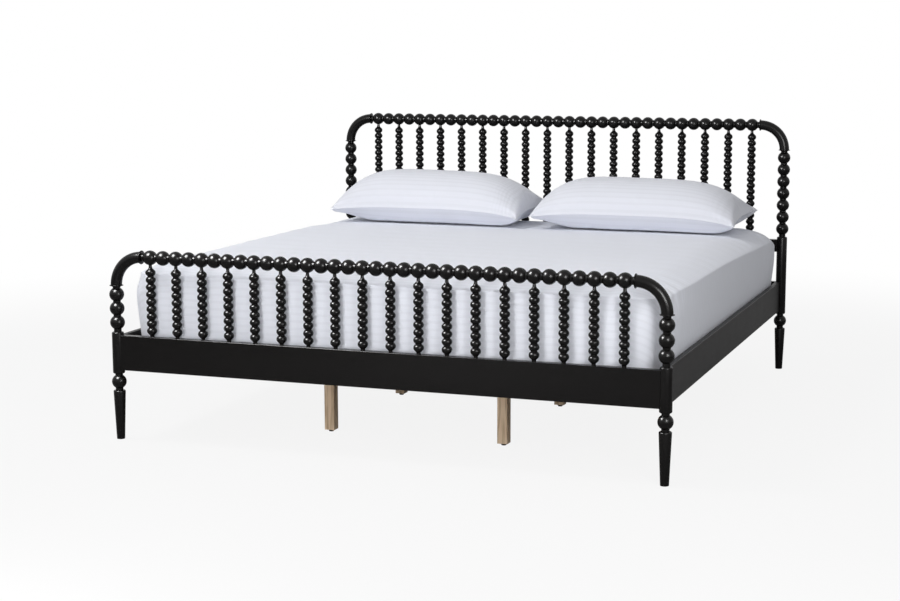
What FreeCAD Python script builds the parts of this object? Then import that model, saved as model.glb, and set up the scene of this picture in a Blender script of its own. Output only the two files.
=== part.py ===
import FreeCAD, Part
import Sketcher
import math
import os

# A wooden platform bed with a ball-turned headboard and footboard, mattress and two pillows.
# Millimetres. X runs across the bed, +Y points to the head end, +Z is up, and the origin lies
# on the floor under the middle of the bed.

SIZES = {
    # Whole bed
    "overall_width": 2034.5,
    "overall_length": 2153.9,
    "overall_height": 1064.3,
    "footboard_height": 682.5,
    # Turned balls of the posts and top rails
    "ball_diameter": 52.0,
    "ball_pitch": 50.2,
    "ball_neck_diameter": 27.0,
    "ball_end_gap": 33.5,
    "rail_end_gap": 28.85,
    # Corner posts
    "post_diameter": 42.5,
    "post_shoulder": 5.0,
    "leg_height": 177.5,
    "leg_top_diameter": 43.0,
    "leg_foot_diameter": 29.0,
    "leg_edge_round": 1.5,
    "leg_ball_height": 208.0,
    "shaft_floor_gap": 237.5,
    # Quarter bends with their collars
    "bend_reach": 102.0,
    "bend_diameter": 40.0,
    "collar_diameter": 48.5,
    "collar_flange": 2.5,
    "collar_cone": 4.5,
    "collar_cone_root": 42.0,
    # Boards and rails
    "rail_floor_gap": 251.0,
    "rail_height": 125.0,
    "side_rail_thickness": 20.0,
    "side_rail_inset": 1.75,
    "end_board_thickness": 25.0,
    "board_edge_round": 2.0,
    "lower_rail_floor_gap": 504.0,
    "lower_rail_height": 52.0,
    "board_seat": 17.0,
    "rail_seat": 13.0,
    "seat_clearance": 0.2,
    "cut_overrun": 1.0,
    # Spindles
    "spindle_bead_diameter": 36.0,
    "spindle_bead_pitch": 25.6,
    "spindle_bead_arc": 12.5,
    "spindle_neck_diameter": 24.0,
    "spindle_peg_diameter": 11.0,
    "spindle_peg_depth": 14.0,
    "spindle_foot_diameter": 15.0,
    "spindle_top_gap": 26.0,
    "spindle_bottom_gap": 21.5,
    "spindle_taper_rise": 6.0,
    "spindle_foot_inset": 1.0,
    "spindle_tip_inset": 2.0,
    "peg_clearance": 0.1,
    "peg_bottom_clearance": 1.0,
    # Dowels
    "dowel_diameter": 10.0,
    "dowel_length": 46.0,
    "dowel_spacing": 24.0,
    "dowel_end_clearance": 1.0,
    # Side rail bolts
    "bolt_diameter": 8.0,
    "bolt_spacing": 80.0,
    "bolt_depth_in_post": 22.0,
    "bolt_clearance": 0.1,
    "bolt_pocket_gap": 45.0,
    "bolt_pocket_size": 26.0,
    "bolt_pocket_floor": 2.0,
    "bolt_tail": 4.0,
    "nut_width": 13.0,
    "nut_thickness": 6.5,
    # Slat deck
    "slat_drop": 40.0,
    "slat_thickness": 18.0,
    "slat_width": 70.0,
    "slat_count": 14,
    "slat_end_gap": 3.0,
    "deck_end_gap": 22.0,
    "cleat_width": 22.0,
    "cleat_height": 30.0,
    "cleat_end_gap": 8.0,
    "centre_rail_spacing": 660.0,
    "centre_rail_width": 38.0,
    "centre_rail_height": 64.0,
    # Support legs and their levelling glides
    "support_leg_width": 38.0,
    "support_leg_pitch": 690.0,
    "leg_bolt_length": 80.0,
    "glide_height": 8.0,
    "glide_top_diameter": 22.0,
    "glide_foot_diameter": 17.0,
    "glide_edge_round": 1.5,
    "stud_diameter": 8.0,
    "stud_length": 30.0,
    "stud_clearance": 0.08,
    "insert_diameter": 12.0,
    "insert_length": 18.0,
    # Saddles that hold the ends of the centre rails
    "saddle_plate": 2.5,
    "saddle_reach": 45.0,
    "saddle_height": 50.0,
    "saddle_ear": 20.0,
    "saddle_clearance": 0.5,
    # Wood screws
    "screw_diameter": 4.0,
    "screw_head_diameter": 8.0,
    "screw_head_height": 3.0,
    "screw_bite": 14.0,
    "screw_clearance": 0.1,
    "cleat_screw_count": 6,
    "cleat_screw_rise": 8.0,
    # Mattress
    "mattress_thickness": 290.0,
    "mattress_side_gap": 5.0,
    "mattress_end_gap": 22.0,
    "mattress_corner": 90.0,
    "mattress_top_round": 46.0,
    "mattress_bottom_round": 28.0,
    "mattress_bulge": 5.0,
    "mattress_crown": 9.0,
    "mattress_crown_run": 150.0,
    "soft_gap": 0.3,
    # Pillows
    "pillow_width": 905.0,
    "pillow_depth": 420.0,
    "pillow_waist": 16.0,
    "pillow_crown": 146.0,
    "pillow_belly": 56.0,
    "pillow_edge": 5.0,
    "pillow_end_power": 2.4,
    "pillow_swell_power": 0.72,
    "pillow_middle_gap": 8.0,
    "pillow_head_gap": 20.0,
    "pillow_tilt": 4.0,
}

doc = FreeCAD.newDocument("platform_bed")
sheet = doc.addObject("Spreadsheet::Sheet", "sizes")
for row, (alias, size) in enumerate(SIZES.items(), start=1):
    sheet.set(f"A{row}", alias)
    sheet.set(f"B{row}", str(size))
    sheet.setAlias(f"B{row}", alias)
doc.recompute()

# Places that several pieces share, as expressions on the sheet
post_x = "((sizes.overall_width - sizes.ball_diameter) / 2)"
post_y = "((sizes.overall_length - sizes.ball_diameter) / 2)"
head_rail_z = "(sizes.overall_height - sizes.ball_diameter / 2)"
foot_rail_z = "(sizes.footboard_height - sizes.ball_diameter / 2)"
collar_depth = "(sizes.collar_flange + sizes.collar_cone)"
rail_end_x = f"({post_x} - sizes.bend_reach - {collar_depth})"
rail_steps = f"round(({rail_end_x} - sizes.rail_end_gap) / sizes.ball_pitch)"
rail_pitch = f"(({rail_end_x} - sizes.rail_end_gap) / {rail_steps})"
spindle_count = f"({rail_steps} + 1)"
spindle_pitch = f"(2 * {rail_pitch})"

rail_top = "(sizes.rail_floor_gap + sizes.rail_height)"
rail_middle = "(sizes.rail_floor_gap + sizes.rail_height / 2)"
lower_rail_top = "(sizes.lower_rail_floor_gap + sizes.lower_rail_height)"
lower_rail_middle = "(sizes.lower_rail_floor_gap + sizes.lower_rail_height / 2)"
rail_outer_x = f"({post_x} - sizes.side_rail_inset)"
rail_middle_x = f"({rail_outer_x} - sizes.side_rail_thickness / 2)"
rail_inner_x = f"({rail_outer_x} - sizes.side_rail_thickness)"
side_rail_end_y = f"({post_y} - sizes.rail_seat)"
end_board_x = f"({post_x} - sizes.board_seat)"
end_board_face_y = f"({post_y} - sizes.end_board_thickness / 2)"

slat_top = f"({rail_top} - sizes.slat_drop)"
slat_floor = f"({slat_top} - sizes.slat_thickness)"
first_slat_y = f"({end_board_face_y} - sizes.deck_end_gap - sizes.slat_width / 2)"
slat_pitch = f"(2 * {first_slat_y} / (sizes.slat_count - 1))"
slat_half = f"({rail_inner_x} - sizes.slat_end_gap)"
cleat_middle_x = f"({rail_inner_x} - sizes.cleat_width / 2)"
cleat_half_y = f"({side_rail_end_y} - sizes.cleat_end_gap)"
centre_rail_x = "(sizes.centre_rail_spacing / 2)"
centre_rail_floor = f"({slat_floor} - sizes.centre_rail_height)"
centre_rail_end_y = f"({end_board_face_y} - sizes.saddle_clearance)"
screw_hole_radius = "(sizes.screw_diameter / 2 + sizes.screw_clearance)"
bolt_low_z = f"({rail_middle} - sizes.bolt_spacing / 2)"
dowel_hole_radius = "(sizes.dowel_diameter / 2 + sizes.peg_clearance)"
dowel_hole_length = "(sizes.dowel_length + 2 * sizes.dowel_end_clearance)"
peg_hole_radius = "(sizes.spindle_peg_diameter / 2 + sizes.peg_clearance)"
peg_hole_depth = "(sizes.spindle_peg_depth + sizes.peg_bottom_clearance)"

ORIGIN = ("0", "0", "0")
ALONG_X = (FreeCAD.Vector(0, 1, 0), 90)
ALONG_Y = (FreeCAD.Vector(1, 0, 0), -90)
POLES_ALONG_X = (FreeCAD.Vector(0, 1, 0), FreeCAD.Vector(0, 0, 1), FreeCAD.Vector(1, 0, 0), "ZXY")
HALF_TURN = (FreeCAD.Vector(0, 0, 1), 180)
LEFT_TO_RIGHT = FreeCAD.Vector(1, 0, 0)
FOOT_TO_HEAD = FreeCAD.Vector(0, 1, 0)
ENDS = {"footboard": -1, "headboard": 1}
SIDES = {"left": -1, "right": 1}
LEG_ROWS = {"foot": -1, "middle": 0, "head": 1}
SAME_PLACE = 0.01
PARALLEL = 0.999

pieces = []


def number(expression):
    """The value of an expression on the sheet, in millimetres."""
    return float(sheet.evalExpression(expression))


def place(thing, at, turn):
    """Turn an object, then bind its position to the sheet."""
    if turn:
        thing.Placement = FreeCAD.Placement(FreeCAD.Vector(), FreeCAD.Rotation(*turn))
    for axis, expression in zip("xyz", at):
        if expression != "0":
            thing.setExpression(f"Placement.Base.{axis}", expression)


def new_body(label, at=ORIGIN, turn=None):
    """One named piece of the bed."""
    piece = loose_body(label)
    place(piece, at, turn)
    pieces.append(piece)
    return piece


def loose_body(label):
    """One member of a group of like pieces."""
    piece = doc.addObject("PartDesign::Body", label)
    piece.Label = label
    return piece


def group(label, members, *mirror_normals):
    """Like pieces in one node: the members and their images across the middle planes."""
    for normal in mirror_normals:
        images = []
        for member in members:
            image = doc.addObject("Part::Mirroring", f"{member.Name}_image")
            image.Source = member
            image.Normal = normal
            images.append(image)
        members = members + images
    whole = doc.addObject("Part::Compound", label)
    whole.Label = label
    whole.Links = members
    pieces.append(whole)


def feature(piece, kind, name, at=ORIGIN, turn=None, **bound):
    """A solid that is added to a piece or cut from it, with its sizes bound to the sheet."""
    made = piece.newObject(f"PartDesign::{kind}", f"{piece.Name}_{name}")
    for prop, expression in bound.items():
        made.setExpression(prop, expression)
    place(made, at, turn)
    return made


def block(piece, name, low, size, cut=False):
    """A rectangular block from its low corner and its three sizes."""
    kind = "SubtractiveBox" if cut else "AdditiveBox"
    length, width, height = size
    return feature(piece, kind, name, low, None, Length=length, Width=width, Height=height)


def hole(piece, name, at, turn, radius, depth):
    """A round hole that starts at a point and runs along the turned axis."""
    return feature(piece, "SubtractiveCylinder", name, at, turn, Radius=radius, Height=depth)


def origin_part(piece, role):
    """One of the axes or planes of a body's own origin."""
    return next(part for part in piece.Origin.OriginFeatures if part.Role == role)


def repeat(piece, name, role, spacing, count, original=None):
    """A row along an axis, of one feature or of the whole piece."""
    doc.recompute()
    row = piece.newObject("PartDesign::LinearPattern", f"{piece.Name}_{name}")
    if original:
        row.Originals = [original]
    else:
        row.TransformMode = "Whole shape"
    row.Direction = (origin_part(piece, role), [""])
    row.Mode = "Spacing"
    row.setExpression("Offset", spacing)
    row.setExpression("Occurrences", count)
    piece.Tip = row


def mirror(piece, name, role, originals):
    """The mirror image of some features of a piece, across a plane."""
    image = piece.newObject("PartDesign::Mirrored", f"{piece.Name}_{name}")
    image.Originals = originals
    image.MirrorPlane = (origin_part(piece, role), [""])
    piece.Tip = image


def round_edges(piece, name, radius, wanted):
    """A fillet on the edges that a test picks out."""
    doc.recompute()
    base = piece.Tip
    edges = [f"Edge{i}" for i, edge in enumerate(base.Shape.Edges, start=1) if wanted(edge)]
    fillet = piece.newObject("PartDesign::Fillet", f"{piece.Name}_{name}")
    fillet.Base = (base, edges)
    fillet.setExpression("Radius", radius)


def runs_along(axis):
    """A test for straight edges that lie along an axis."""
    def wanted(edge):
        straight = isinstance(edge.Curve, Part.Line)
        return straight and abs(edge.tangentAt(edge.FirstParameter).dot(axis)) > PARALLEL
    return wanted


def circle_at(heights):
    """A test for level circles at given heights."""
    def wanted(edge):
        if not isinstance(edge.Curve, Part.Circle):
            return False
        return any(abs(edge.Curve.Center.z - height) < SAME_PLACE for height in heights)
    return wanted


def post_ball_count(end):
    """How many balls stand between the post's plain shaft and its collar."""
    clear_from = lower_rail_top if end == "headboard" else rail_top
    return f"(floor(({post_collar_z(end)} - 2 * sizes.ball_end_gap - {clear_from}) / sizes.ball_pitch) + 1)"


def rail_z(end):
    return head_rail_z if end == "headboard" else foot_rail_z


def post_collar_z(end):
    return f"({rail_z(end)} - sizes.bend_reach)"


def shaft_top_z(end):
    run = f"({post_ball_count(end)} - 1) * sizes.ball_pitch"
    return f"({post_collar_z(end)} - 2 * sizes.ball_end_gap - {run})"


def bolt_heights():
    return (bolt_low_z, f"({bolt_low_z} + sizes.bolt_spacing)")


def dowel_heights(middle):
    return (f"({middle} - sizes.dowel_spacing / 2)", f"({middle} + sizes.dowel_spacing / 2)")


def post(end, side):
    """A turned corner post: tapered leg, ball, plain shaft and a stack of balls."""
    y_sign = ENDS[end]
    x_sign = SIDES[side]
    piece = new_body(f"{end}_post_{side}", (f"{x_sign} * {post_x}", f"{y_sign} * {post_y}", "0"))
    shaft_top = shaft_top_z(end)
    post_top = f"({post_collar_z(end)} - {collar_depth})"

    feature(piece, "AdditiveCone", "leg", Radius1="sizes.leg_foot_diameter / 2",
            Radius2="sizes.leg_top_diameter / 2", Height="sizes.leg_height")
    feature(piece, "AdditiveCylinder", "neck", ("0", "0", "sizes.leg_height / 2"),
            Radius="sizes.ball_neck_diameter / 2", Height=f"{post_top} - sizes.leg_height / 2")
    feature(piece, "AdditiveSphere", "leg_ball", ("0", "0", "sizes.leg_ball_height"),
            Radius="sizes.ball_diameter / 2")
    feature(piece, "AdditiveCylinder", "shaft", ("0", "0", "sizes.shaft_floor_gap"),
            Radius="sizes.post_diameter / 2", Height=f"{shaft_top} - sizes.shaft_floor_gap")
    ends = [number("sizes.leg_height"), number("sizes.shaft_floor_gap"), number(shaft_top)]
    wide = number("sizes.ball_neck_diameter") / 2 + SAME_PLACE
    at_end = circle_at(ends)
    round_edges(piece, "shoulders", "sizes.post_shoulder",
                lambda edge: at_end(edge) and edge.Curve.Radius > wide)
    round_edges(piece, "foot_edge", "sizes.leg_edge_round", circle_at([0.0]))
    first_ball = f"({shaft_top} + sizes.ball_end_gap)"
    ball = feature(piece, "AdditiveSphere", "ball", ("0", "0", first_ball),
                   Radius="sizes.ball_diameter / 2")
    repeat(piece, "balls", "Z_Axis", "sizes.ball_pitch", post_ball_count(end), ball)

    # Flat that takes the end board, and the one that takes the side rail
    board_size = ("sizes.post_diameter", "sizes.end_board_thickness + 2 * sizes.seat_clearance",
                  "sizes.rail_height + 2 * sizes.seat_clearance")
    board_low_x = "sizes.board_seat" if x_sign < 0 else "-sizes.board_seat - sizes.post_diameter"
    board_low_y = "-sizes.end_board_thickness / 2 - sizes.seat_clearance"
    low_z = "sizes.rail_floor_gap - sizes.seat_clearance"
    block(piece, "board_seat", (board_low_x, board_low_y, low_z), board_size, cut=True)
    seat_width = "sizes.side_rail_thickness + 2 * sizes.seat_clearance"
    rail_size = (seat_width, "sizes.post_diameter", "sizes.rail_height + 2 * sizes.seat_clearance")
    rail_low_x = "sizes.side_rail_inset - sizes.seat_clearance"
    if x_sign > 0:
        rail_low_x = f"-({rail_low_x}) - ({seat_width})"
    rail_low_y = "sizes.rail_seat" if y_sign < 0 else "-sizes.rail_seat - sizes.post_diameter"
    block(piece, "rail_seat", (rail_low_x, rail_low_y, low_z), rail_size, cut=True)

    # Holes for the rail bolts, the board dowels and the bend dowel
    bolt_x = f"{-x_sign} * ({post_x} - {rail_middle_x})"
    bolt_turn = (FreeCAD.Vector(1, 0, 0), 90 * -y_sign)
    for name, height in zip(("low", "high"), bolt_heights()):
        hole(piece, f"bolt_{name}", (bolt_x, f"{-y_sign} * sizes.rail_seat", height), bolt_turn,
             "sizes.bolt_diameter / 2 + sizes.bolt_clearance",
             "sizes.bolt_depth_in_post + sizes.dowel_end_clearance")
    dowel_low_x = f"{-x_sign} * sizes.board_seat - {dowel_hole_length} / 2"
    for name, height in zip(("low", "high"), dowel_heights(rail_middle)):
        hole(piece, f"dowel_{name}", (dowel_low_x, "0", height), ALONG_X,
             dowel_hole_radius, dowel_hole_length)
    if end == "headboard":
        lower_size = (board_size[0], board_size[1],
                      "sizes.lower_rail_height + 2 * sizes.seat_clearance")
        lower_z = "sizes.lower_rail_floor_gap - sizes.seat_clearance"
        block(piece, "lower_seat", (board_low_x, board_low_y, lower_z), lower_size, cut=True)
        for name, height in zip(("low", "high"), dowel_heights(lower_rail_middle)):
            hole(piece, f"lower_dowel_{name}", (dowel_low_x, "0", height), ALONG_X,
                 dowel_hole_radius, dowel_hole_length)
    hole(piece, "bend_dowel", ("0", "0", f"{post_top} - {dowel_hole_length} / 2"), None,
         dowel_hole_radius, dowel_hole_length)


def bend(end, side):
    """A quarter bend from the post up to the top rail, with a flared collar at each end."""
    x_sign = SIDES[side]
    centre_x = f"{x_sign} * ({post_x} - sizes.bend_reach)"
    turn = HALF_TURN if x_sign < 0 else None
    place_at = (centre_x, f"{ENDS[end]} * {post_y}", post_collar_z(end))
    piece = new_body(f"{end}_bend_{side}", place_at, turn)
    arm = feature(piece, "AdditiveTorus", "arm", ORIGIN, (FreeCAD.Vector(1, 0, 0), 90),
                  Radius1="sizes.bend_reach", Radius2="sizes.bend_diameter / 2")
    arm.Angle3 = 90
    down = (FreeCAD.Vector(1, 0, 0), 180)
    inward = (FreeCAD.Vector(0, 1, 0), -90)
    tail = "-sizes.collar_flange"
    ends = {
        "post": (down, ("sizes.bend_reach", "0", "0"), ("sizes.bend_reach", "0", tail)),
        "rail": (inward, ("0", "0", "sizes.bend_reach"), (tail, "0", "sizes.bend_reach")),
    }
    for name, (direction, start, cone_start) in ends.items():
        feature(piece, "AdditiveCylinder", f"{name}_flange", start, direction,
                Radius="sizes.collar_diameter / 2", Height="sizes.collar_flange")
        feature(piece, "AdditiveCone", f"{name}_cone", cone_start, direction,
                Radius1="sizes.collar_cone_root / 2", Radius2="sizes.ball_neck_diameter / 2",
                Height="sizes.collar_cone")
    reach = f"({dowel_hole_length} / 2 - {collar_depth})"
    hole(piece, "post_dowel", ("sizes.bend_reach", "0", reach), down, dowel_hole_radius,
         f"{dowel_hole_length} / 2")
    hole(piece, "rail_dowel", (reach, "0", "sizes.bend_reach"), inward, dowel_hole_radius,
         f"{dowel_hole_length} / 2")


def top_rail(end):
    """The row of turned balls between the two bends."""
    piece = new_body(f"{end}_top_rail", ("0", f"{ENDS[end]} * {post_y}", rail_z(end)))
    first_x = f"-{rail_steps} * {rail_pitch}"
    feature(piece, "AdditiveCylinder", "core", (f"-{rail_end_x}", "0", "0"), ALONG_X,
            Radius="sizes.ball_neck_diameter / 2", Height=f"2 * {rail_end_x}")
    ball = feature(piece, "AdditiveSphere", "ball", (first_x, "0", "0"), POLES_ALONG_X,
                   Radius="sizes.ball_diameter / 2")
    repeat(piece, "balls", "X_Axis", rail_pitch, f"2 * {rail_steps} + 1", ball)
    peg_hole = hole(piece, "peg_hole", (first_x, "0", "-sizes.ball_diameter / 2 - sizes.cut_overrun"), None,
                    peg_hole_radius, f"{peg_hole_depth} + sizes.cut_overrun")
    repeat(piece, "peg_holes", "X_Axis", spindle_pitch, spindle_count, peg_hole)
    for name, start in (("left", f"-{rail_end_x}"), ("right", rail_end_x)):
        hole(piece, f"dowel_{name}", (f"{start} - {dowel_hole_length} / 2", "0", "0"), ALONG_X,
             dowel_hole_radius, dowel_hole_length)


def bead_sketch(piece):
    """Half section of one spindle bead: an arc that swells out from the neck."""
    radius = number("sizes.spindle_bead_diameter") / 2
    arc = number("sizes.spindle_bead_arc")
    neck = number("sizes.spindle_neck_diameter") / 2
    centre = radius - arc
    rise = math.sqrt(arc**2 - (neck - centre)**2)
    sketch = piece.newObject("Sketcher::SketchObject", f"{piece.Name}_bead_section")
    sketch.AttachmentSupport = (origin_part(piece, "XZ_Plane"), [""])
    sketch.MapMode = "FlatFace"
    angle = math.atan2(rise, neck - centre)
    circle = Part.Circle(FreeCAD.Vector(centre, 0, 0), FreeCAD.Vector(0, 0, 1), arc)
    corners = [FreeCAD.Vector(neck, rise, 0), FreeCAD.Vector(0, rise, 0),
               FreeCAD.Vector(0, -rise, 0), FreeCAD.Vector(neck, -rise, 0)]
    bulge = sketch.addGeometry(Part.ArcOfCircle(circle, -angle, angle))
    lines = [sketch.addGeometry(Part.LineSegment(a, b)) for a, b in zip(corners, corners[1:])]
    top, axis, bottom = lines
    constrain = Sketcher.Constraint
    origin, start_of, end_of, centre_of = -1, 1, 2, 3
    for first, second in ((bulge, top), (top, axis), (axis, bottom), (bottom, bulge)):
        sketch.addConstraint(constrain("Coincident", first, end_of, second, start_of))
    sketch.addConstraint(constrain("Horizontal", top))
    sketch.addConstraint(constrain("Horizontal", bottom))
    sketch.addConstraint(constrain("PointOnObject", axis, start_of, -2))
    sketch.addConstraint(constrain("PointOnObject", axis, end_of, -2))
    sketch.addConstraint(constrain("PointOnObject", bulge, centre_of, -1))
    bound = {
        "arc": (constrain("Radius", bulge, arc), "sizes.spindle_bead_arc"),
        "reach": (constrain("DistanceX", origin, start_of, bulge, centre_of, centre),
                  "sizes.spindle_bead_diameter / 2 - sizes.spindle_bead_arc"),
        "neck": (constrain("DistanceX", origin, start_of, bulge, end_of, neck),
                 "sizes.spindle_neck_diameter / 2"),
        "foot": (constrain("DistanceX", origin, start_of, bulge, start_of, neck),
                 "sizes.spindle_neck_diameter / 2"),
    }
    for name, (constraint, expression) in bound.items():
        index = sketch.addConstraint(constraint)
        sketch.renameConstraint(index, name)
        sketch.setExpression(f"Constraints.{name}", expression)
    return sketch


def spindles(end):
    """The row of beaded spindles, each pegged into the rail below and a ball above."""
    board_top = lower_rail_top if end == "headboard" else rail_top
    span = f"({rail_z(end)} - sizes.ball_diameter / 2 - {board_top})"
    bead_run = f"({span} - sizes.spindle_top_gap - sizes.spindle_bottom_gap)"
    steps = f"round({bead_run} / sizes.spindle_bead_pitch)"
    pitch = f"({bead_run} / {steps})"
    first_x = f"-{rail_steps} * {rail_pitch}"
    piece = new_body(f"{end}_spindles", (first_x, f"{ENDS[end]} * {post_y}", board_top))
    low_bead = "sizes.spindle_bottom_gap"
    high_bead = f"({low_bead} + {bead_run})"
    taper = "sizes.spindle_taper_rise"

    feature(piece, "AdditiveCylinder", "core", ("0", "0", low_bead),
            Radius="sizes.spindle_neck_diameter / 2", Height=bead_run)
    feature(piece, "AdditiveCone", "foot", Radius1="sizes.spindle_foot_diameter / 2",
            Radius2="sizes.spindle_bead_diameter / 2 - sizes.spindle_foot_inset",
            Height=f"{low_bead} - {taper} / 2")
    feature(piece, "AdditiveCone", "tip", ("0", "0", f"{high_bead} + {taper}"),
            Radius1="sizes.spindle_bead_diameter / 2 - sizes.spindle_tip_inset",
            Radius2="sizes.spindle_peg_diameter / 2", Height=f"{span} - {high_bead} - {taper}")
    section = bead_sketch(piece)
    doc.recompute()
    bead = piece.newObject("PartDesign::Revolution", f"{piece.Name}_bead")
    bead.Profile = section
    bead.ReferenceAxis = (section, ["V_Axis"])
    bead.Angle = 360
    section.AttachmentOffset = FreeCAD.Placement(FreeCAD.Vector(), FreeCAD.Rotation())
    section.setExpression("AttachmentOffset.Base.y", low_bead)
    repeat(piece, "beads", "Z_Axis", pitch, f"{steps} + 1", bead)
    feature(piece, "AdditiveCylinder", "bottom_peg", ("0", "0", "-sizes.spindle_peg_depth"),
            Radius="sizes.spindle_peg_diameter / 2", Height=f"sizes.spindle_peg_depth + {low_bead}")
    feature(piece, "AdditiveCylinder", "top_peg", ("0", "0", high_bead),
            Radius="sizes.spindle_peg_diameter / 2",
            Height=f"{span} - {high_bead} + sizes.spindle_peg_depth")
    repeat(piece, "row", "X_Axis", spindle_pitch, spindle_count)


def end_board(label, end, floor_gap, height, middle, pegged, carries_rails):
    """A board between two posts, set on their flats and dowelled."""
    piece = new_body(label, ("0", f"{ENDS[end]} * {post_y}", floor_gap))
    block(piece, "board", (f"-{end_board_x}", "-sizes.end_board_thickness / 2", "0"),
          (f"2 * {end_board_x}", "sizes.end_board_thickness", height))
    round_edges(piece, "edges", "sizes.board_edge_round", runs_along(FreeCAD.Vector(1, 0, 0)))
    dowel_middle = f"({middle} - {floor_gap})"
    for name, level in zip(("low", "high"), dowel_heights(dowel_middle)):
        for side, x_sign in SIDES.items():
            start = f"{x_sign} * {end_board_x} - {dowel_hole_length} / 2"
            hole(piece, f"dowel_{name}_{side}", (start, "0", level), ALONG_X,
                 dowel_hole_radius, dowel_hole_length)
    if pegged:
        first_x = f"-{rail_steps} * {rail_pitch}"
        peg_hole = hole(piece, "peg_hole", (first_x, "0", f"{height} - {peg_hole_depth}"), None,
                        peg_hole_radius, f"{peg_hole_depth} + sizes.cut_overrun")
        repeat(piece, "peg_holes", "X_Axis", spindle_pitch, spindle_count, peg_hole)
    if carries_rails:
        ear_turn = (FreeCAD.Vector(1, 0, 0), 90 * -ENDS[end])
        start_y = f"{-ENDS[end]} * sizes.end_board_thickness / 2"
        for x_sign in SIDES.values():
            for ear in (-1, 1):
                ear_x = f"{x_sign} * {centre_rail_x} + {ear} * {saddle_ear_x}"
                name = f"saddle_hole_{x_sign + 1}{ear + 1}"
                hole(piece, name, (ear_x, start_y, f"{saddle_screw_z} - {floor_gap}"), ear_turn,
                     screw_hole_radius, "sizes.screw_bite + sizes.dowel_end_clearance")


saddle_inner = "(sizes.centre_rail_width / 2 + sizes.saddle_clearance)"
saddle_outer = f"({saddle_inner} + sizes.saddle_plate)"
saddle_ear_x = f"({saddle_outer} + sizes.saddle_ear / 2)"
saddle_floor = f"({centre_rail_floor} - sizes.saddle_plate)"
saddle_screw_z = f"({saddle_floor} + sizes.saddle_height / 2)"


def side_rail(side):
    """A long side board, bolted to a post at each end through nuts in pockets on its inner face."""
    x_sign = SIDES[side]
    piece = new_body(f"side_rail_{side}", (f"{x_sign} * {rail_middle_x}", "0", "0"))
    half = "sizes.side_rail_thickness / 2"
    block(piece, "board", (f"-{half}", f"-{side_rail_end_y}", "sizes.rail_floor_gap"),
          ("sizes.side_rail_thickness", f"2 * {side_rail_end_y}", "sizes.rail_height"))
    round_edges(piece, "edges", "sizes.board_edge_round", runs_along(FreeCAD.Vector(0, 1, 0)))
    pocket = "sizes.bolt_pocket_size"
    depth = "(sizes.side_rail_thickness - sizes.bolt_pocket_floor)"
    low_x = f"-{half} - sizes.cut_overrun" if x_sign > 0 else f"{half} - {depth}"
    for end, y_sign in ENDS.items():
        inward = (FreeCAD.Vector(1, 0, 0), 90 * y_sign)
        pocket_y = f"{y_sign} * ({side_rail_end_y} - sizes.bolt_pocket_gap - {pocket} / 2) - {pocket} / 2"
        for name, height in zip(("low", "high"), bolt_heights()):
            hole(piece, f"{end}_bolt_{name}", ("0", f"{y_sign} * {side_rail_end_y}", height), inward,
                 "sizes.bolt_diameter / 2 + sizes.bolt_clearance",
                 "sizes.bolt_pocket_gap + sizes.cut_overrun")
            block(piece, f"{end}_pocket_{name}", (low_x, pocket_y, f"{height} - {pocket} / 2"),
                  (f"{depth} + sizes.cut_overrun", pocket, pocket), cut=True)
    screw = hole(piece, "screw", (f"{-x_sign} * {half}", f"-{cleat_screw_y}", cleat_screw_z),
                 (FreeCAD.Vector(0, 1, 0), 90 * x_sign), screw_hole_radius,
                 "sizes.screw_bite + sizes.dowel_end_clearance")
    repeat(piece, "screws", "Y_Axis", cleat_screw_pitch, "sizes.cleat_screw_count", screw)


cleat_screw_z = f"({slat_floor} - sizes.cleat_height + sizes.cleat_screw_rise)"
cleat_screw_y = f"({cleat_half_y} - sizes.slat_width)"
cleat_screw_pitch = f"(2 * {cleat_screw_y} / (sizes.cleat_screw_count - 1))"


def slat_pilot_holes(piece, x):
    """Pilot holes for the slat screws, one under each slat."""
    bite = "(sizes.screw_bite + sizes.dowel_end_clearance)"
    pilot = hole(piece, "slat_hole", (x, f"-{first_slat_y}", f"{slat_floor} - {bite}"), None,
                 screw_hole_radius, f"{bite} + sizes.cut_overrun")
    repeat(piece, "slat_holes", "Y_Axis", slat_pitch, "sizes.slat_count", pilot)


def cleat(side):
    """A batten screwed along the inside of a side rail, which carries the slat ends."""
    x_sign = SIDES[side]
    piece = new_body(f"slat_cleat_{side}", (f"{x_sign} * {cleat_middle_x}", "0", "0"))
    half = "sizes.cleat_width / 2"
    block(piece, "batten", (f"-{half}", f"-{cleat_half_y}", f"{slat_floor} - sizes.cleat_height"),
          ("sizes.cleat_width", f"2 * {cleat_half_y}", "sizes.cleat_height"))
    screw_start = f"-{half} - sizes.cut_overrun"
    screw = hole(piece, "screw", (screw_start, f"-{cleat_screw_y}", cleat_screw_z), ALONG_X,
                 screw_hole_radius, "sizes.cleat_width + 2 * sizes.cut_overrun")
    repeat(piece, "screws", "Y_Axis", cleat_screw_pitch, "sizes.cleat_screw_count", screw)
    inner_x = f"{-x_sign} * {half}"
    head_low = f"{inner_x} - (sizes.screw_head_height + sizes.screw_clearance)"
    sink = hole(piece, "sink", (head_low, f"-{cleat_screw_y}", cleat_screw_z), ALONG_X,
                "sizes.screw_head_diameter / 2 + sizes.screw_clearance",
                "2 * (sizes.screw_head_height + sizes.screw_clearance)")
    repeat(piece, "sinks", "Y_Axis", cleat_screw_pitch, "sizes.cleat_screw_count", sink)
    slat_pilot_holes(piece, "0")


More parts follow.
